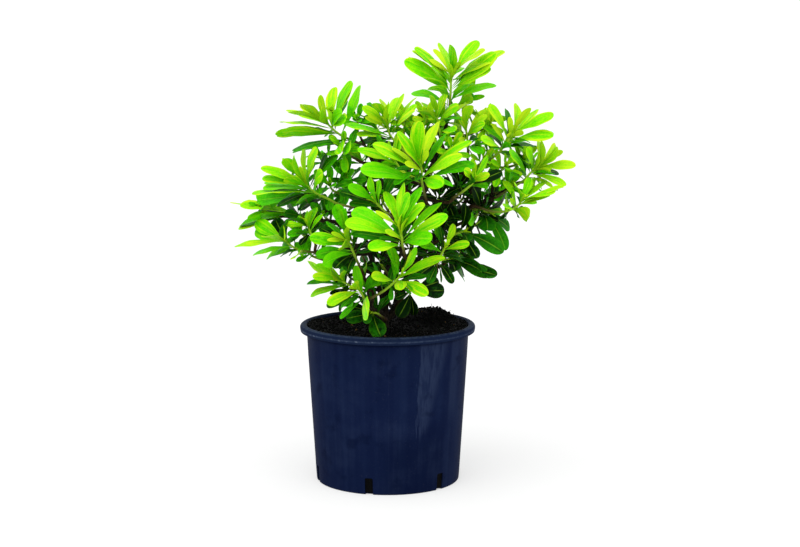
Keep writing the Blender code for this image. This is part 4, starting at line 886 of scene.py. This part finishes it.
bark = Finish("rough_bark", specular_ior_level=0.06)
green = bark.attribute("green")
grain = bark.noise(bark.place * (1.0, 1.0, 0.22), 620.0, 4.0, 0.65)
patch = bark.noise(bark.place, 90.0, 3.0, 0.6)
old = grain.step(0.36, 0.66).mix((0.004, 0.0034, 0.0026), (0.03, 0.024, 0.016))
lichen = (patch.step(0.6, 0.72) * 0.3).mix(old, (0.06, 0.06, 0.034))
red = grain.step(0.3, 0.7).mix((0.013, 0.007, 0.003), (0.056, 0.031, 0.013))
young = green.step(0.05, 0.22).mix(lichen, red)
fresh = green.step(0.24, 0.42).mix(young, (0.095, 0.125, 0.013))
bark.paint(fresh, 0.88 - green * 0.35, grain * 0.7 + patch * 0.5, 0.55, 0.5)

paths = {name: stem_path(shoot) for name, shoot in SHOOTS.items()}
paths.update({name: far_path(row[0]) for name, row in FAR_SHOOTS.items()})
guest_rows = {name: row[3:] for name, row in INNER_SHOOTS.items()}
guest_rows.update({name: row[1:] for name, row in BACK_SHOOTS.items()})
guest_paths = {name: inner_path(*row[:3]) for name, row in INNER_SHOOTS.items()}
guest_paths.update({name: far_path(row[0]) for name, row in BACK_SHOOTS.items()})
limbs = [[(Vector(row[:3]) * MM, row[3]) for row in rows] for rows in LIMBS.values()]
lines = [
    [(place, radius, max(0.0, LIMB_GREEN - radius * LIMB_GREEN_LOSS)) for place, radius in limb]
    for limb in limbs
]
for path in [*paths.values(), *guest_paths.values()]:
    way = (path[1] - path[0]).normalized()
    end = path[0] - way * GAP * MM
    start, radius = twig_start(limbs, end)
    elbow = end - way * min((end - start).length * ELBOW_SHARE, ELBOW_REACH * MM)
    base = min(radius * TWIG_SHARE, TWIG_BASE_RADIUS)
    radii = (base, (base + TWIG_RADIUS) / 2, TWIG_RADIUS)
    lines.append(list(zip((start, elbow, end), radii, TWIG_GREENS)))
trunk = wood.grow(
    "trunk_and_limbs", rods("limbs", lines), Step=1.6 * MM, Sides=14, Knots=0.1, Spacing=9 * MM, Rough=0.34,
    Finish=bark.material,
)
show(trunk, "trunk", bark)

STRAWS = ((48, 72), (57, 66), (68, 78), (90, 62), (97, 52), (-64, 40), (-30, -70))
STRAW_LENGTH = (5.0, 9.0)
STRAW_RADIUS = 0.35
STRAW_GREEN = 0.3
STRAW_SINK = 1.5
STRAW_LEAN = ((-0.8, 0.8), (-0.5, 0.5), (0.5, 1.2))
STRAW_CURL = ((-0.5, 0.5), (-0.3, 0.3), (-0.4, 0.1))
draw = random.Random("straws")
lines = []
for place in STRAWS:
    foot = Vector((*place, soil_level(*place, soil_edge) - STRAW_SINK)) * MM
    lean = Vector([draw.uniform(*ends) for ends in STRAW_LEAN]).normalized()
    curl = Vector([draw.uniform(*ends) for ends in STRAW_CURL])
    size = draw.uniform(*STRAW_LENGTH) * MM
    places = [foot + lean * size * share + curl * size * share**2 for share in (0.0, 0.5, 1.0)]
    lines.append([(spot, STRAW_RADIUS, STRAW_GREEN) for spot in places])
straws = wood.grow(
    "straws", rods("straws", lines), Step=0.8 * MM, Sides=5, Knots=0.0, Spacing=9 * MM, Rough=0.2,
    Finish=bark.material,
)
show(straws, "soil", bark)


# Leafy shoots
# Each shoot is a young green stem with a whorl of leathery, spoon-shaped leaves, lime and yellow where new
# and deep green where older and shaded. The leaves stand where the solid's blades do. Bud leaves close each
# tip, and older leaves and the guests fill the dark inside of the bush. Painted into the leaf colour are
# shade (near-black leaves deep inside, darker leaf bases) and light (paler leaves at the top and far right).
ROOT_HALF_WIDTH = 0.7
WIDTH_SHARE = 0.28
YOUNG_WIDTH_SHARE = 0.19
ARCH = 0.11
YOUNG_AGE = 0.6
YOUNG_SHARE = 0.6
TIP_SHARE = 0.98
TIP_FULLNESS = 0.58
BENDS = (0, 8, -8, 16, -16, 25, -25, 36, -36, 48, -48, 62, -62)
LEAST_SLANT = 0.45
LOWEST_FOOT = 0.92
LEAST_LEAN = 0.2
INTERNODE = 2.0
FACING = 0.45
FIRST_BACK = 1.6
GOLDEN_TURN = math.radians(137.508)
REFERENCE = Vector((0.31, 0.95, 0.1))
HIDDEN_TILT = (48.0, 82.0)
HIDDEN_LENGTH = (40.0, 54.0)
HIDDEN_BACK = (3.0, 16.0)
HIDDEN_AWAY = 0.62
FAR_AGE = 1.6
FAR_FIRST_TILT = 26.0
FAR_LAST_TILT = 96.0
FAR_TURN_STRAY = 0.2
FAR_LEAST_LENGTH = 0.82
FAR_INNER_LENGTH = 0.72
FAR_FIRST_BACK = 2.0
FAR_BACK_REACH = 20.0
HIGHEST_TIP = 650.0
OLD_HANG = 2.0
FAR_HANG = 20.0


def walk_back(path, distance):
    """The point that lies a distance back from the end of a path, and the way the path runs there."""
    for start, end in zip(path[-2::-1], path[:0:-1]):
        step = (end - start).length
        if distance <= step or start is path[0]:
            return end + (start - end) * min(distance / step, LOWEST_FOOT), (end - start).normalized()
        distance -= step


def natural_face(way, axis):
    """The way an upper side faces: towards the shoot's axis, square to the blade."""
    up = axis - way * way.dot(axis)
    if up.length < LEAST_LEAN:
        up = Vector((0.0, 0.0, 1.0)) - way * way.z
    return up.normalized()


def seen_face(base, tip, axis, width, seen):
    """The way the blade faces when its width, as the elevation shows it, is the one read there."""
    way = (tip - base).normalized()
    sight = (VIEWPOINT - (base + tip) / 2).normalized()
    towards = (sight - way * way.dot(sight)).normalized()
    across = way.cross(towards)
    turn = math.acos(min(1.0, seen / width))
    wanted = natural_face(way, axis)
    turns = (turn, -turn, math.pi - turn, math.pi + turn)
    return max((towards * math.cos(a) + across * math.sin(a) for a in turns), key=wanted.dot)


def read_blades(shoot, path):
    """Every blade read on the elevation, as a function of its bend."""
    backs = {}
    last = FIRST_BACK - INTERNODE
    for row in sorted(shoot["blades"], key=lambda row: row[4]):
        last = max(row[4], last + INTERNODE)
        backs[row] = last

    def blade(row, bend):
        x, z, side, seen, _, age, *arch = row
        base, axis = walk_back(path, backs[row] * MM)
        full = shoot["reach"] * (YOUNG_SHARE if age < YOUNG_AGE else 1.0) * MM
        flat = (at(x, z, base.y / MM) - base).length
        away = math.sqrt(max(full**2 - flat**2, (LEAST_SLANT * flat) ** 2))
        tip = at(x, z, base.y / MM + side * away / MM + bend)
        least = (YOUNG_WIDTH_SHARE if age < YOUNG_AGE else WIDTH_SHARE) * (tip - base).length
        width = max(seen * MM, least)
        axis = (axis + Vector((0.0, -FACING, 0.0))).normalized()
        return base, tip, seen_face(base, tip, axis, width, seen * MM), axis, width / 2, age, *arch

    return [lambda bend, row=row: blade(row, bend) for row in shoot["blades"]]


def ruled_blade(path, turn, tilt, length, back, age, bend):
    """A blade of a whorl, by its turn round the stem, its tilt from it and its length. Bending lowers it."""
    base, axis = walk_back(path, back * MM)
    side = axis.cross(REFERENCE).normalized()
    out = side * math.cos(turn) + axis.cross(side) * math.sin(turn)
    tilt = math.radians(tilt + bend)
    way = axis * math.cos(tilt) + out * math.sin(tilt)
    return base, base + way * length * MM, natural_face(way, axis), axis, WIDTH_SHARE * length * MM / 2, age


def far_blades(name, shoot, path):
    """Blades on the side that the elevation doesn't show, to close the whorl."""
    draw = random.Random(name)
    made = []
    turn = draw.uniform(0, math.tau)
    while len(made) < shoot["far"]:
        turn += GOLDEN_TURN
        tilt = draw.uniform(*HIDDEN_TILT)
        length = draw.uniform(*HIDDEN_LENGTH)
        back = draw.uniform(*HIDDEN_BACK)
        row = (turn, tilt, length, back, FAR_AGE)
        base, tip, *_ = ruled_blade(path, *row, 0)
        if (tip - base).normalized().y > HIDDEN_AWAY:
            made.append(lambda bend, row=row: ruled_blade(path, *row, bend))
    return made


def whorl_blades(name, path, count, length, age):
    """A whole whorl by rule, upright in the middle and spreading lower down."""
    draw = random.Random(name)
    made = []
    for i in range(count):
        share = i / (count - 1)
        full = length * (FAR_INNER_LENGTH + (1 - FAR_INNER_LENGTH) * share)
        row = (
            i * GOLDEN_TURN + draw.uniform(-FAR_TURN_STRAY, FAR_TURN_STRAY),
            FAR_FIRST_TILT + (FAR_LAST_TILT - FAR_FIRST_TILT) * share,
            full * draw.uniform(FAR_LEAST_LENGTH, 1.0),
            FAR_FIRST_BACK + FAR_BACK_REACH * share,
            age,
        )
        made.append(lambda bend, row=row: ruled_blade(path, *row, bend))
    return made


def tip_corners(base, tip, face, axis, half_width, age, arch=1.0):
    """Where a blade's last corners stand, by which the solid shows which bend it took."""
    way = tip - base
    control = (base + tip) / 2 + natural_face(way.normalized(), axis) * ARCH * arch * way.length
    if age < YOUNG_AGE:
        return [tip]
    share = TIP_SHARE
    middle = base * (1 - share) ** 2 + control * 2 * share * (1 - share) + tip * share**2
    along = ((control - base) * (1 - share) + (tip - control) * share).normalized()
    side = along.cross((face - along * along.dot(face)).normalized())
    half = ROOT_HALF_WIDTH * MM + (half_width - ROOT_HALF_WIDTH * MM) * TIP_FULLNESS
    return [middle + side * half, middle - side * half]


def as_grown(blade, solid):
    """The blade with the bend that the solid took."""
    def miss(bend):
        return sum(solid.find(corner)[2] for corner in tip_corners(*blade(bend)))
    return blade(min(BENDS, key=miss))


LEAF_ROWS = 12
ROW_CROWDING = 0.9
LEAF_COLUMNS = {1: (-1.0, -0.62, -0.1, 0.1, 0.62, 1.0), -1: (-1.0, 0.0, 1.0)}


def flat_leaf():
    """A closed leaf shape of unit length and half width. Its z is 1 on the upper side and -1 underneath."""
    shape = bmesh.new()
    corners = {}

    def corner(row, v, side):
        if row in (0, LEAF_ROWS):
            v = 0.0
        if row in (0, LEAF_ROWS) or abs(v) == 1.0:
            side = 0
        if (row, v, side) not in corners:
            u = math.sin(math.pi / 2 * (row / LEAF_ROWS) ** ROW_CROWDING) if row < LEAF_ROWS else 1.0
            corners[row, v, side] = shape.verts.new((u, v, side))
        return corners[row, v, side]

    for side, columns in LEAF_COLUMNS.items():
        for row in range(LEAF_ROWS):
            for left, right in zip(columns, columns[1:]):
                ring = [(row, left), (row + 1, left), (row + 1, right), (row, right)]
                shape.faces.new(list(dict.fromkeys(corner(r, v, side) for r, v in ring[::side])))
    plan = shape.loops.layers.uv.new("plan")
    for face in shape.faces:
        centre = face.calc_center_median()
        for loop in face.loops:
            pole = loop.vert.co.x in (0.0, 1.0)
            v = centre.y if pole else loop.vert.co.y
            loop[plan].uv = (loop.vert.co.x, v / 2 + 0.5)
    for edge in shape.edges:
        edge.smooth = any(vert.co.z for vert in edge.verts)
    mesh = bpy.data.meshes.new("flat_leaf")
    shape.to_mesh(mesh)
    shape.free()
    return mesh


leaves = Grower(
    "leaves", Blank="Object", Thickness="Float", Fold="Float", Roll="Float", Wave="Float", Twist="Float",
    Rib="Float", Finish="Material",
)
blank = leaves.node("GeometryNodeObjectInfo", {"Object": leaves["Blank"]}, out="Geometry")
spread = leaves.node("GeometryNodeInstanceOnPoints", {"Points": leaves["Geometry"], "Instance": blank})
spread = leaves.node("GeometryNodeRealizeInstances", {"Geometry": spread})
base, control, tip, face = (
    leaves.attribute(key, "FLOAT_VECTOR") for key in ("base", "control", "tip", "face")
)
half, seed = (leaves.attribute(key) for key in ("half", "seed"))
u, v, w = (leaves.node("GeometryNodeInputPosition") - base).parts()
left = 1.0 - u
middle = base * (left * left) + control * (left * u * 2.0) + tip * (u * u)
along = ((control - base) * left + (tip - control) * u).unit()
up = (face - along * face.dot(along)).unit()
side = up.cross(along)
turn = (seed - 0.5) * leaves["Twist"] * (u - 0.45)
side, up = side * turn.cos() + up * turn.sin(), up * turn.cos() - side * turn.sin()
WIDEST = 0.71
TAPER = 2.2
ROUNDNESS = 2.3
RIM_WIDTH = 0.6
RIB_WIDTH = 0.9
rise = ((u / WIDEST).low(1.0) * (math.pi / 2)).sin() ** TAPER
fall = (1.0 - ((u - WIDEST).high(0.0) / (1.0 - WIDEST)) ** ROUNDNESS).high(0.0) ** 0.5
petiole = ROOT_HALF_WIDTH * MM * (1.0 - u * 0.8)
width = petiole * fall + (half - petiole + RIM_WIDTH * MM).high(0.0) * rise * fall
edge = abs(v)
ruffle = (u * 15.0 + seed * 37.0 + v * 1.3).sin() + (u * 8.0 - seed * 21.0 - v * 2.0).sin()
lift = edge * width * leaves["Fold"] * (1.3 - seed)
lift = lift - (edge ** 4.0) * width * leaves["Roll"]
lift = lift + edge * edge * ruffle * width * leaves["Wave"]
near_rib = -1.0 * (v * width / (RIB_WIDTH * MM)) ** 2.0
near_rib = leaves.node("ShaderNodeMath", {0: near_rib}, operation="EXPONENT")
under = (w * -1.0).high(0.0)
lift = lift + w * leaves["Thickness"] * (1.0 - edge * edge * 0.6) / 2.0
lift = lift - under * near_rib * leaves["Rib"] * (1.1 - u)
lift = lift - w.high(0.0) * near_rib * leaves["Rib"] * 0.3 * (1.0 - u)
bent = leaves.node(
    "GeometryNodeSetPosition", {"Geometry": spread, "Position": middle + side * (v * width) + up * lift}
)
bent = leaves.store(bent, "under", under)
leaves.finish(bent)
blank_leaf = placed("blank_leaf", flat_leaf())

leaf_finish = Finish("leathery_leaf", specular_ior_level=0.025)
plan = leaf_finish.node("ShaderNodeUVMap", uv_map="plan")
u, v, _ = plan.parts()
edge = abs(v * 2.0 - 1.0)
age, seed, under = (leaf_finish.attribute(key) for key in ("age", "seed", "under"))
mottle = leaf_finish.noise(leaf_finish.place, 130.0, 3.0, 0.6)
fine = leaf_finish.noise(leaf_finish.place, 900.0, 2.0, 0.6)
crisp = leaf_finish.noise(leaf_finish.place, 380.0, 2.0, 0.6)
streaks = leaf_finish.noise(
    leaf_finish.stripe(X=u * 3.4 + seed * 41.0, Y=v * 5.0, Z=seed * 17.0), 1.0, 3.0, 0.6
)
new = 1.0 - age.step(0.9, 1.9)
OLDEST = 3.0
shade = age / OLDEST + (seed - 0.5) * 0.14 + (mottle - 0.5) * 0.24 + (streaks - 0.5) * (0.24 + new * 0.4)
# Painted shade in part: the (0.5 - u) term darkens each leaf towards its stalk.
shade = shade + (crisp - 0.5) * (0.2 + new * 0.34) + (0.5 - u) * 0.08 - (edge - 0.4) * 0.08
# The ramp runs from new lime to old deep green; its last stop, near black, is painted shade for leaves deep
# inside the bush.
colour = leaf_finish.node(
    "ShaderNodeValToRGB",
    {"Fac": shade},
    stops=[
        (0.0, (0.46, 0.72, 0.012)), (0.16, (0.33, 0.71, 0.006)), (0.34, (0.19, 0.69, 0.002)),
        (0.55, (0.08, 0.57, 0.001)), (0.75, (0.02, 0.21, 0.002)), (1.0, (0.0015, 0.015, 0.0015)),
    ],
)
vein = (u * 13.0 - edge * 2.6 + seed).fraction()
vein = abs(vein - 0.5).step(0.4, 0.5) * (1.0 - edge) * edge.step(0.02, 0.2) * u.step(0.15, 0.4)
midrib = (1.0 - edge.step(0.02, 0.1)) * (1.0 - u.step(0.8, 1.0) * 0.6)
petiole = 1.0 - u.step(0.02, 0.22)
stripes = leaf_finish.noise(leaf_finish.stripe(X=u * 1.4 + seed * 23.0, Y=v * 5.5, Z=seed * 31.0), 1.0)
gilt = (stripes + edge * 0.06).step(0.54, 0.63) * u.step(0.15, 0.4) * new * 0.7
margin = edge.step(0.74, 1.0) * (0.05 + new * streaks.step(0.4, 0.6) * 0.9)
# Painted shade: the lower part of each leaf, near the stem, darkened in streaks by up to a third.
base_shade = (1.0 - u.step(0.1, 0.8)) * (0.34 + streaks.step(0.3, 0.7) * 0.34)
gilded = gilt.mix(colour, (0.62, 0.76, 0.012))
base_shaded = base_shade.mix(gilded, colour * 0.5)
veined = (vein * 0.32).mix(base_shaded, colour * 1.5)
ribbed = ((midrib * (0.3 - new * 0.14)).high(petiole * 0.4)).mix(veined, (0.36, 0.7, 0.03))
edged = (margin * 0.5).mix(ribbed, (0.6, 0.76, 0.02))
pale = (under * 0.1).mix(edged, (0.16, 0.44, 0.03))
relief = vein * 0.6 - midrib * 0.8 + fine * 0.3 + streaks * 0.4
leaf_finish.paint(pale, 0.4 + under * 0.2 + (fine - 0.5) * 0.1, relief, 0.45, 0.35)

stem_finish = Finish("green_stem", specular_ior_level=0.12)
green = stem_finish.attribute("green")
grain = stem_finish.noise(stem_finish.place * (1.0, 1.0, 0.3), 500.0, 3.0, 0.6)
woody = grain.mix((0.05, 0.042, 0.012), (0.11, 0.09, 0.025))
stem_colour = green.step(0.3, 0.75).mix(woody, (0.3, 0.52, 0.02))
stem_finish.paint(stem_colour, 0.52 + grain * 0.2, grain, 0.3, 0.2)


def leaf_points(name, rows):
    """A point for each leaf, with its midrib, facing, half width, age and seed as attributes."""
    mesh = bpy.data.meshes.new(name)
    mesh.from_pydata([row["base"] for row in rows], [], [])
    for key in ("base", "control", "tip", "face"):
        numbers = [number for row in rows for number in row[key]]
        mesh.attributes.new(key, "FLOAT_VECTOR", "POINT").data.foreach_set("vector", numbers)
    for key in ("half", "age", "seed"):
        store(mesh, key, [row[key] for row in rows])
    return mesh


SUN_AT_TOP = 0.38
SUN_HEIGHT = 450.0
SUN_RISE = 90.0
SUN_AT_RIGHT = 0.22
SUN_SIDE = 130.0
SUN_REACH = 80.0
AGE_STRAY = 0.12


def sunned(tip):
    """How much younger a leaf looks at the top and far out on the right, in the sun: partly sun-paled, partly
    painted light.
    """
    high = min(1.0, max(0.0, tip.z / MM - SUN_HEIGHT) / SUN_RISE)
    far_out = min(1.0, max(0.0, tip.x / MM - SUN_SIDE) / SUN_REACH)
    return SUN_AT_TOP * high + SUN_AT_RIGHT * far_out


def leaf_row(draw, base, tip, face, axis, half_width, age, arch=1.0):
    tip = Vector((tip.x, tip.y, min(tip.z, HIGHEST_TIP * MM)))
    way = tip - base
    return {
        "base": base,
        "control": (base + tip) / 2 + natural_face(way.normalized(), axis) * ARCH * arch * way.length,
        "tip": tip,
        "face": face,
        "half": half_width,
        "age": age - sunned(tip) + draw.uniform(-AGE_STRAY, AGE_STRAY),
        "seed": draw.random(),
    }


BUD_COUNT = 5
BUD_LENGTH = (8, 17)
BUD_TILT = (8, 30)
BUD_BACK = (0.3, 1.4)
BUD_WIDTH = 0.8
BUD_AGE = 0.25
FAR_BUD_AGE = 0.5
GUEST_BUD_YOUTH = 0.8


def bud_leaves(draw, path, age):
    """Small new leaves that stand close round the tip."""
    made = []
    for i in range(BUD_COUNT):
        length = draw.uniform(*BUD_LENGTH)
        tilt = draw.uniform(*BUD_TILT)
        back = draw.uniform(*BUD_BACK)
        *place, half_width, _ = ruled_blade(path, i * GOLDEN_TURN, tilt, length, back, age, 0)
        made.append((*place, half_width * BUD_WIDTH, age))
    return made


OLD_COUNT = 6
OLD_TILT = (50, 104)
OLD_LENGTH = (30, 48)
OLD_FIRST_BACK = 4
OLD_LEAST_BACK = 8
OLD_MOST_BACK = 34
OLD_BACK_SHARE = 0.9
OLD_AGE_STRAY = (-0.4, 0.3)
OLD_AGING = 1.1
OLD_MOST_AGE = 2.9
FAR_OLD_COUNT = 5
FAR_OLD_AGE = 2.5


def old_leaves(draw, path, count, age, lowest):
    """Older leaves lower on the stem, in the shade of the whorl and no lower than the lowest height given."""
    reach = sum((b - a).length for a, b in zip(path, path[1:])) / MM
    last = max(OLD_LEAST_BACK, min(reach * OLD_BACK_SHARE, OLD_MOST_BACK))
    made = [
        ruled_blade(
            path, draw.uniform(0, math.tau), draw.uniform(*OLD_TILT), draw.uniform(*OLD_LENGTH),
            draw.uniform(OLD_FIRST_BACK, last), age + draw.uniform(*OLD_AGE_STRAY), 0,
        )
        for _ in range(count)
    ]
    return [blade for blade in made if blade[1].z > lowest * MM]


homes = {
    guest: min(paths, key=lambda name: (paths[name][-1] - path[-1]).length)
    for guest, path in guest_paths.items()
}
for name, path in paths.items():
    node = "shoot_" + name
    corners = frame["nodes"][node].data.vertices
    solid = KDTree(len(corners))
    for i, vertex in enumerate(corners):
        solid.insert(vertex.co, i)
    solid.balance()
    draw = random.Random("looks of " + name)
    if name in SHOOTS:
        shoot = SHOOTS[name]
        ages = [row[5] for row in shoot["blades"]]
        shade = min(OLD_MOST_AGE, sum(ages) / len(ages) + OLD_AGING)
        blades = read_blades(shoot, path) + far_blades(name, shoot, path)
        lowest = min(row[1] for row in shoot["blades"]) - OLD_HANG
        count = 0 if name in BARE_SHOOTS else OLD_COUNT
        extra = bud_leaves(draw, path, BUD_AGE) + old_leaves(draw, path, count, shade, lowest)
        added = {"blades": ADDED_BLADES.get(name, []), "reach": shoot["reach"]}
        extra += [blade(0) for blade in read_blades(added, path)]
    else:
        blades = whorl_blades(name, path, *FAR_SHOOTS[name][1:])
        extra = bud_leaves(draw, path, FAR_BUD_AGE)
        extra += old_leaves(draw, path, FAR_OLD_COUNT, FAR_OLD_AGE, path[0].z / MM - FAR_HANG)
    guests = [guest for guest, home in homes.items() if home == name]
    for guest in guests:
        extra += [blade(0) for blade in whorl_blades(guest, guest_paths[guest], *guest_rows[guest])]
        extra += bud_leaves(draw, guest_paths[guest], guest_rows[guest][-1] - GUEST_BUD_YOUTH)
    rows = [leaf_row(draw, *as_grown(blade, solid)) for blade in blades]
    rows += [leaf_row(draw, *blade) for blade in extra]
    foliage = leaves.grow(
        name + "_leaves", leaf_points(name, rows), Blank=blank_leaf, Thickness=0.7 * MM, Fold=0.28,
        Roll=0.12, Wave=0.055, Twist=1.1, Rib=0.9 * MM, Finish=leaf_finish.material,
    )
    lines = []
    for one in [path, *(guest_paths[guest] for guest in guests)]:
        shares = [i / (len(one) - 1) for i in range(len(one))]
        radii = [STEM_BASE_RADIUS + (STEM_TIP_RADIUS - STEM_BASE_RADIUS) * share for share in shares]
        greens = [STEM_GREEN + (1.0 - STEM_GREEN) * share for share in shares]
        lines.append(list(zip(one, radii, greens)))
    stem = wood.grow(
        name + "_stem", rods(name, lines), Step=1.5 * MM, Sides=10, Knots=0.14, Spacing=5 * MM, Rough=0.16,
        Finish=stem_finish.material,
    )
    show(foliage, node, leaf_finish)
    show(stem, node, stem_finish)
bpy.data.objects.remove(blank_leaf)


# Studio
# A white floor and an even white surround, with one broad soft lamp high on the left and a weak one on the
# right. The camera stands where the photograph was taken from.
FLOOR_REACH = 9.0
LENS = 80.55
CAMERA_DIP = 0.1445
SURROUND = 1.03
SEEN_GLOW = 0.07
LAMPS = {"key": ((-0.7, -1.5, 2.6), 60, 1.5), "fill": ((2.0, -2.4, 1.2), 50, 0.35)}
floor_mesh = bpy.data.meshes.new("floor")
corners = [(x * FLOOR_REACH, y * FLOOR_REACH, 0.0) for x, y in ((-1, -1), (1, -1), (1, 1), (-1, 1))]
floor_mesh.from_pydata(corners, [], [(0, 1, 2, 3)])
floor = placed("floor", floor_mesh)
paper = Finish("white_paper", specular_ior_level=0.0, roughness=1.0, emission_strength=0.49)
paper.shader.inputs["Base Color"].default_value = (0.42, 0.42, 0.42, 1.0)
paper.shader.inputs["Emission Color"].default_value = (1.0, 1.0, 1.0, 1.0)
floor_mesh.materials.append(paper.material)

world = bpy.data.worlds.new("surround")
world.use_nodes = True
sky = Graph(world.node_tree)
seen = sky.node("ShaderNodeLightPath", out="Is Camera Ray")
surround = world.node_tree.nodes["Background"]
surround.inputs["Color"].default_value = (1.0, 1.0, 1.0, 1.0)
world.node_tree.links.new((SURROUND + seen * SEEN_GLOW).socket, surround.inputs["Strength"])
bpy.context.scene.world = world

for name, (place, width, strength) in LAMPS.items():
    light = bpy.data.lights.new(name, "SUN")
    light.angle = math.radians(width)
    light.energy = strength
    lamp = placed(name, light)
    lamp.rotation_euler = (-Vector(place)).to_track_quat("-Z", "Y").to_euler()

camera = bpy.data.cameras.new("camera")
camera.lens = LENS
camera.sensor_width = 36.0
viewer = placed("camera", camera)
viewer.location = VIEWPOINT
viewer.rotation_euler = (math.pi / 2 - CAMERA_DIP, 0.0, 0.0)
bpy.context.scene.camera = viewer
bpy.context.scene.view_settings.view_transform = "Standard"
